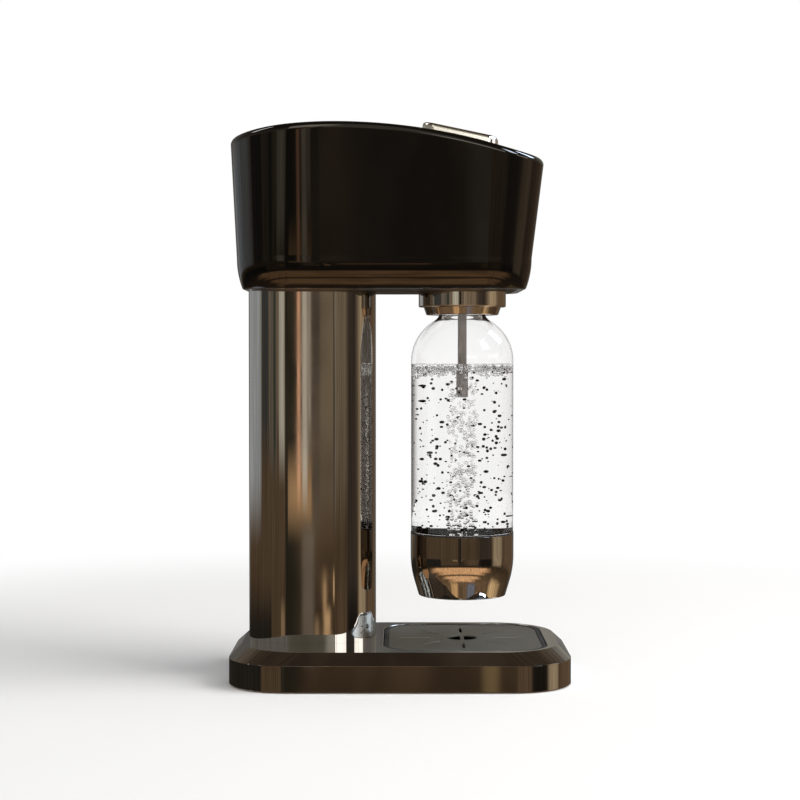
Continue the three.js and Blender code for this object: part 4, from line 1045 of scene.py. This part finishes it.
# What gloss reflects: a warm dim room whose colour goes with the height above the horizon, and cards in it,
# each over a range of azimuth and of elevation in degrees. Azimuth 0 is towards the camera and 90 towards +X.
# A later card covers an earlier one.
roomLook = {
    "heights": [  # elevation and colour
        (-90, (0.110, 0.075, 0.045)),
        (-55, (0.150, 0.105, 0.065)),
        (-38, (0.260, 0.165, 0.090)),
        (-15, (0.060, 0.040, 0.024)),
        (-8, (0.092, 0.060, 0.036)),
        (-6, (0.125, 0.082, 0.049)),
        (-4, (0.195, 0.146, 0.099)),
        (-1, (0.235, 0.178, 0.118)),
        (3, (0.270, 0.208, 0.140)),
        (8, (0.290, 0.280, 0.265)),
        (14, (0.280, 0.260, 0.240)),
        (33, (0.160, 0.125, 0.095)),
        (50, (0.070, 0.052, 0.037)),
        (90, (0.055, 0.040, 0.028)),
    ],
    "cards": [  # azimuth range, elevation range, half the width of their soft edges across and up, colour
        ((36, 66), (-14, 5), (8, 2), (0.060, 0.046, 0.036)),
        ((38, 68), (-15, -8), (6, 1), (0.018, 0.015, 0.012)),
        ((72, 98), (-14, 5), (5, 2), (0.48, 0.37, 0.24)),
        ((102, 150), (-14, 5), (8, 3), (0.17, 0.11, 0.067)),
        ((8, 34), (-14, -7), (4, 1), (0.15, 0.10, 0.06)),
        ((2.75, 3.3), (-14, -6), (0.15, 1), (0.23, 0.16, 0.08)),
        ((4.45, 4.8), (-14, -6), (0.1, 1), (0.018, 0.016, 0.014)),
        ((-93, -10), (-14, -2.4), (4, 0.8), (0.125, 0.084, 0.050)),
        ((-82, -58), (-3.0, 5), (3, 1.2), (0.060, 0.062, 0.058)),
        ((-55, -33), (-3.6, 5), (2, 1.0), (0.165, 0.145, 0.115)),
        ((-43, -37), (-3.6, 5), (1, 1.0), (0.055, 0.060, 0.045)),
        ((-27, -12), (-3.4, 5), (2.5, 1.2), (0.60, 0.57, 0.48)),
        ((-23, -12), (-9.8, -8.3), (1.5, 0.5), (0.42, 0.28, 0.16)),
        ((-10, -3.36), (-14, 5), (0.25, 2), (0.042, 0.036, 0.024)),
        ((-3.75, -2.92), (-5.5, -3.6), (0.05, 0.9), (0.50, 0.31, 0.16)),
        ((-1.6, 2.0), (-5.5, 3), (0.6, 1), (0.130, 0.100, 0.080)),
        ((2.3, 3.6), (-5.5, 3), (0.3, 1), (0.36, 0.33, 0.27)),
        ((-2.1, 1.0), (-8.1, -7.2), (0.2, 0.3), (0.95, 0.62, 0.33)),
        ((-3.4, 12), (3.6, 60), (0.3, 0.8), (0.62, 0.60, 0.54)),
        ((-3.41, -3.31), (-4.6, 8), (0.02, 1), (1.10, 0.60, 0.36)),
        ((-3.24, -3.08), (-4.6, 12), (0.03, 1), (0.80, 0.72, 0.60)),
        ((-3.06, -2.96), (-2.4, 12), (0.03, 1), (0.55, 0.49, 0.40)),
        ((-2.93, -2.66), (-5.6, 12), (0.04, 0.8), (0.14, 0.107, 0.078)),
        ((-3.25, -2.86), (-10, -5.7), (0.08, 0.5), (0.22, 0.178, 0.135)),
        ((-2.56, -2.45), (-8.5, -7.3), (0.03, 0.5), (0.95, 0.62, 0.33)),
        ((-2.53, -2.32), (-9.9, -8.4), (0.03, 0.3), (0.95, 0.62, 0.33)),
        ((-2.82, -2.70), (-9.9, -8.7), (0.02, 0.3), (0.45, 0.30, 0.17)),
        ((-150, -86), (-5, 5), (6, 1.5), (0.46, 0.49, 0.52)),
        ((130, 177.5), (4, 26), (2.5, 2), (0.30, 0.285, 0.25)),
        ((-180, -50), (-15, -8.2), (3, 1), (0.028, 0.024, 0.020)),
        ((-43, -28), (-14, -10), (2, 0.4), (0.115, 0.076, 0.045)),
        ((-72, 60), (-22, -17), (14, 1), (1.15, 0.66, 0.33)),
        ((-56, 48), (-25.5, -20), (14, 1), (1.15, 0.66, 0.33)),
        ((-44, 38), (-31, -27.5), (12, 1), (1.20, 0.70, 0.36)),
        ((-30, 26), (-35, -29), (12, 1.5), (1.20, 0.70, 0.36)),
        ((80, 100), (-40, -35), (3, 1), (2.0, 1.9, 1.2)),
        ((-3.75, -2.45), (8.2, 10.6), (0.1, 0.4), (0.20, 0.19, 0.15)),
        ((-86, -50), (-60, -37), (4, 2), (0.030, 0.026, 0.024)),
        ((-118, -88), (-52, -28), (2, 3), (2.00, 2.30, 2.80)),
        ((-32, -14), (-52, -36), (3, 3), (0.90, 0.55, 0.26)),
        ((12, 34), (-56, -37), (4, 3), (0.24, 0.26, 0.32)),
        ((74, 112), (-56, -28), (5, 4), (1.05, 0.72, 0.38)),
        ((-9.5, -2.6), (12, 50), (1.2, 1.5), (2.6, 2.5, 2.3)),
        ((2.5, 33), (5.5, 14), (0.4, 0.8), (3.4, 3.4, 3.4)),
        ((58, 87), (5.5, 14), (0.8, 0.8), (3.4, 3.4, 3.4)),
        ((34, 57), (5.5, 14), (0.8, 0.8), (0.08, 0.07, 0.06)),
        ((50, 69), (26, 50), (1, 2), (13.0, 16.0, 21.0)),
        ((-108, -92), (38, 64), (1, 2), (8.0, 8.4, 9.0)),
        ((104, 124), (26, 50), (1, 2), (13.0, 16.0, 21.0)),
    ],
    "cloud": {"scale": 34.0, "detail": 2.0, "squeeze": (1.0, 1.0, 0.35), "level": (0.72, 1.30)},
    "backdrop": {"from": 150, "elevation": (-14, 34), "soft": 8, "colour": (0.15, 0.145, 0.135)},
    "diffuse": (0.39, 0.39, 0.39),  # light on the dull faces
    # through the bottle and its water, the back and the left of the room are white and the right is dim
    "through": {"back": (0.05, 0.62), "left": (0.85, 0.97), "right": (0.62, 0.85),
                "dim": (0.14, 0.125, 0.11)},
}
white = (1.0, 1.0, 1.0)


def makeWorld():
    look = roomLook
    world = bpy.data.worlds.new("studio")
    bpy.context.scene.world = world
    world.use_nodes = True
    tree = world.node_tree
    tree.nodes.clear()

    def calc(operation, *values):
        return addNode(tree, "Math", dict(enumerate(values)), operation=operation).outputs[0]

    def rise(value, low, high):  # 0 below low, 1 above high, smooth between them
        return ramped(tree, value, low, high, smooth=True)

    def within(value, limits, soft):
        return calc("MULTIPLY", rise(value, limits[0] - soft, limits[0] + soft),
                    calc("SUBTRACT", 1.0, rise(value, limits[1] - soft, limits[1] + soft)))

    direction = addNode(tree, "TexCoord").outputs["Generated"]
    x, y, z = addNode(tree, "SeparateXYZ", {0: direction}).outputs
    azimuth = calc("DEGREES", calc("ARCTAN2", x, calc("MULTIPLY", y, -1.0)))
    elevation = calc("DEGREES", calc("ARCSINE", z))
    ramp = addNode(tree, "ValToRGB", {"Fac": calc("DIVIDE", calc("ADD", elevation, 90.0), 180.0)})
    stops = ramp.color_ramp.elements
    stops[0].position, stops[0].color = 0.0, (*look["heights"][0][1], 1)
    stops[1].position, stops[1].color = 1.0, (*look["heights"][-1][1], 1)
    for height, colour in look["heights"][1:-1]:
        stops.new((height + 90) / 180).color = (*colour, 1)
    backdrop = look["backdrop"]
    start, soft = backdrop["from"], backdrop["soft"]
    behind = calc("MULTIPLY", rise(calc("ABSOLUTE", azimuth), start - soft, start + soft),
                  within(elevation, backdrop["elevation"], soft))
    room = mixed(tree, behind, ramp.outputs["Color"], backdrop["colour"])
    for azimuths, elevations, (softAcross, softUp), colour in look["cards"]:
        mask = calc("MULTIPLY", within(azimuth, azimuths, softAcross), within(elevation, elevations, softUp))
        room = mixed(tree, mask, room, colour)
    cloud = look["cloud"]
    low, high = cloud["level"]
    noise = cloudIn(tree, cloud["scale"], cloud["detail"], cloud["squeeze"], "Generated")
    level = calc("ADD", low, calc("MULTIPLY", rise(noise, *cloudRange), high - low))
    room = addNode(tree, "VectorMath", {0: room, "Scale": level}, operation="SCALE").outputs[0]
    through = look["through"]
    pale = calc("MAXIMUM", rise(y, *through["back"]), rise(calc("MULTIPLY", x, -1.0), *through["left"]))
    pale = calc("MULTIPLY", pale, calc("SUBTRACT", 1.0, rise(x, *through["right"])))
    rays = addNode(tree, "LightPath").outputs
    light = mixed(tree, rays["Is Glossy Ray"], look["diffuse"], room)
    light = mixed(tree, rays["Is Transmission Ray"], light, mixed(tree, pale, through["dim"], white))
    light = mixed(tree, rays["Is Camera Ray"], light, white)
    background = addNode(tree, "Background", {"Color": light}).outputs["Background"]
    addNode(tree, "OutputWorld", {"Surface": background})


lampsAim = (0, 0, 0.12)
lampLook = [
    {"name": "key", "place": (3.0, -0.72, 1.9), "size": 3.0, "power": 128.0, "colour": (1.0, 0.98, 0.95)},
    {"name": "top", "place": (0.5, -0.3, 1.9), "size": 1.4, "power": 9.5, "colour": (1.0, 1.0, 1.0)},
    {"name": "fill", "place": (-1.2, -1.4, 0.9), "size": 1.0, "power": 1.5, "colour": (0.95, 0.97, 1.0)},
]


def makeLamps():
    for look in lampLook:
        data = bpy.data.lights.new(look["name"], "AREA")
        data.shape = "DISK"
        data.size = look["size"]
        data.energy = look["power"]
        data.color = look["colour"]
        lamp = bpy.data.objects.new(look["name"], data)
        lamp.location = look["place"]
        aim = Vector(lampsAim) - lamp.location
        lamp.rotation_mode = "QUATERNION"
        lamp.rotation_quaternion = aim.to_track_quat("-Z", "Y")
        lamp.visible_glossy = False
        lamp.visible_transmission = False
        lamp.visible_camera = False
        bpy.context.scene.collection.objects.link(lamp)


cameraLook = {"place": (0.0, -1.387, 0.257), "down": 1.49, "lens": 77.67, "sensor": 36.0,
              "clip": (0.05, 50.0)}


def makeCamera():
    look = cameraLook
    data = bpy.data.cameras.new("camera")
    data.lens = look["lens"]
    data.sensor_width = look["sensor"]
    data.clip_start, data.clip_end = look["clip"]
    camera = bpy.data.objects.new("camera", data)
    camera.location = look["place"]
    camera.rotation_euler = (math.radians(90 - look["down"]), 0, 0)
    bpy.context.scene.collection.objects.link(camera)
    bpy.context.scene.camera = camera


makeFloor()
makeWorld()
makeLamps()
makeCamera()
bpy.context.scene.view_settings.view_transform = "Standard"
print("stage made")
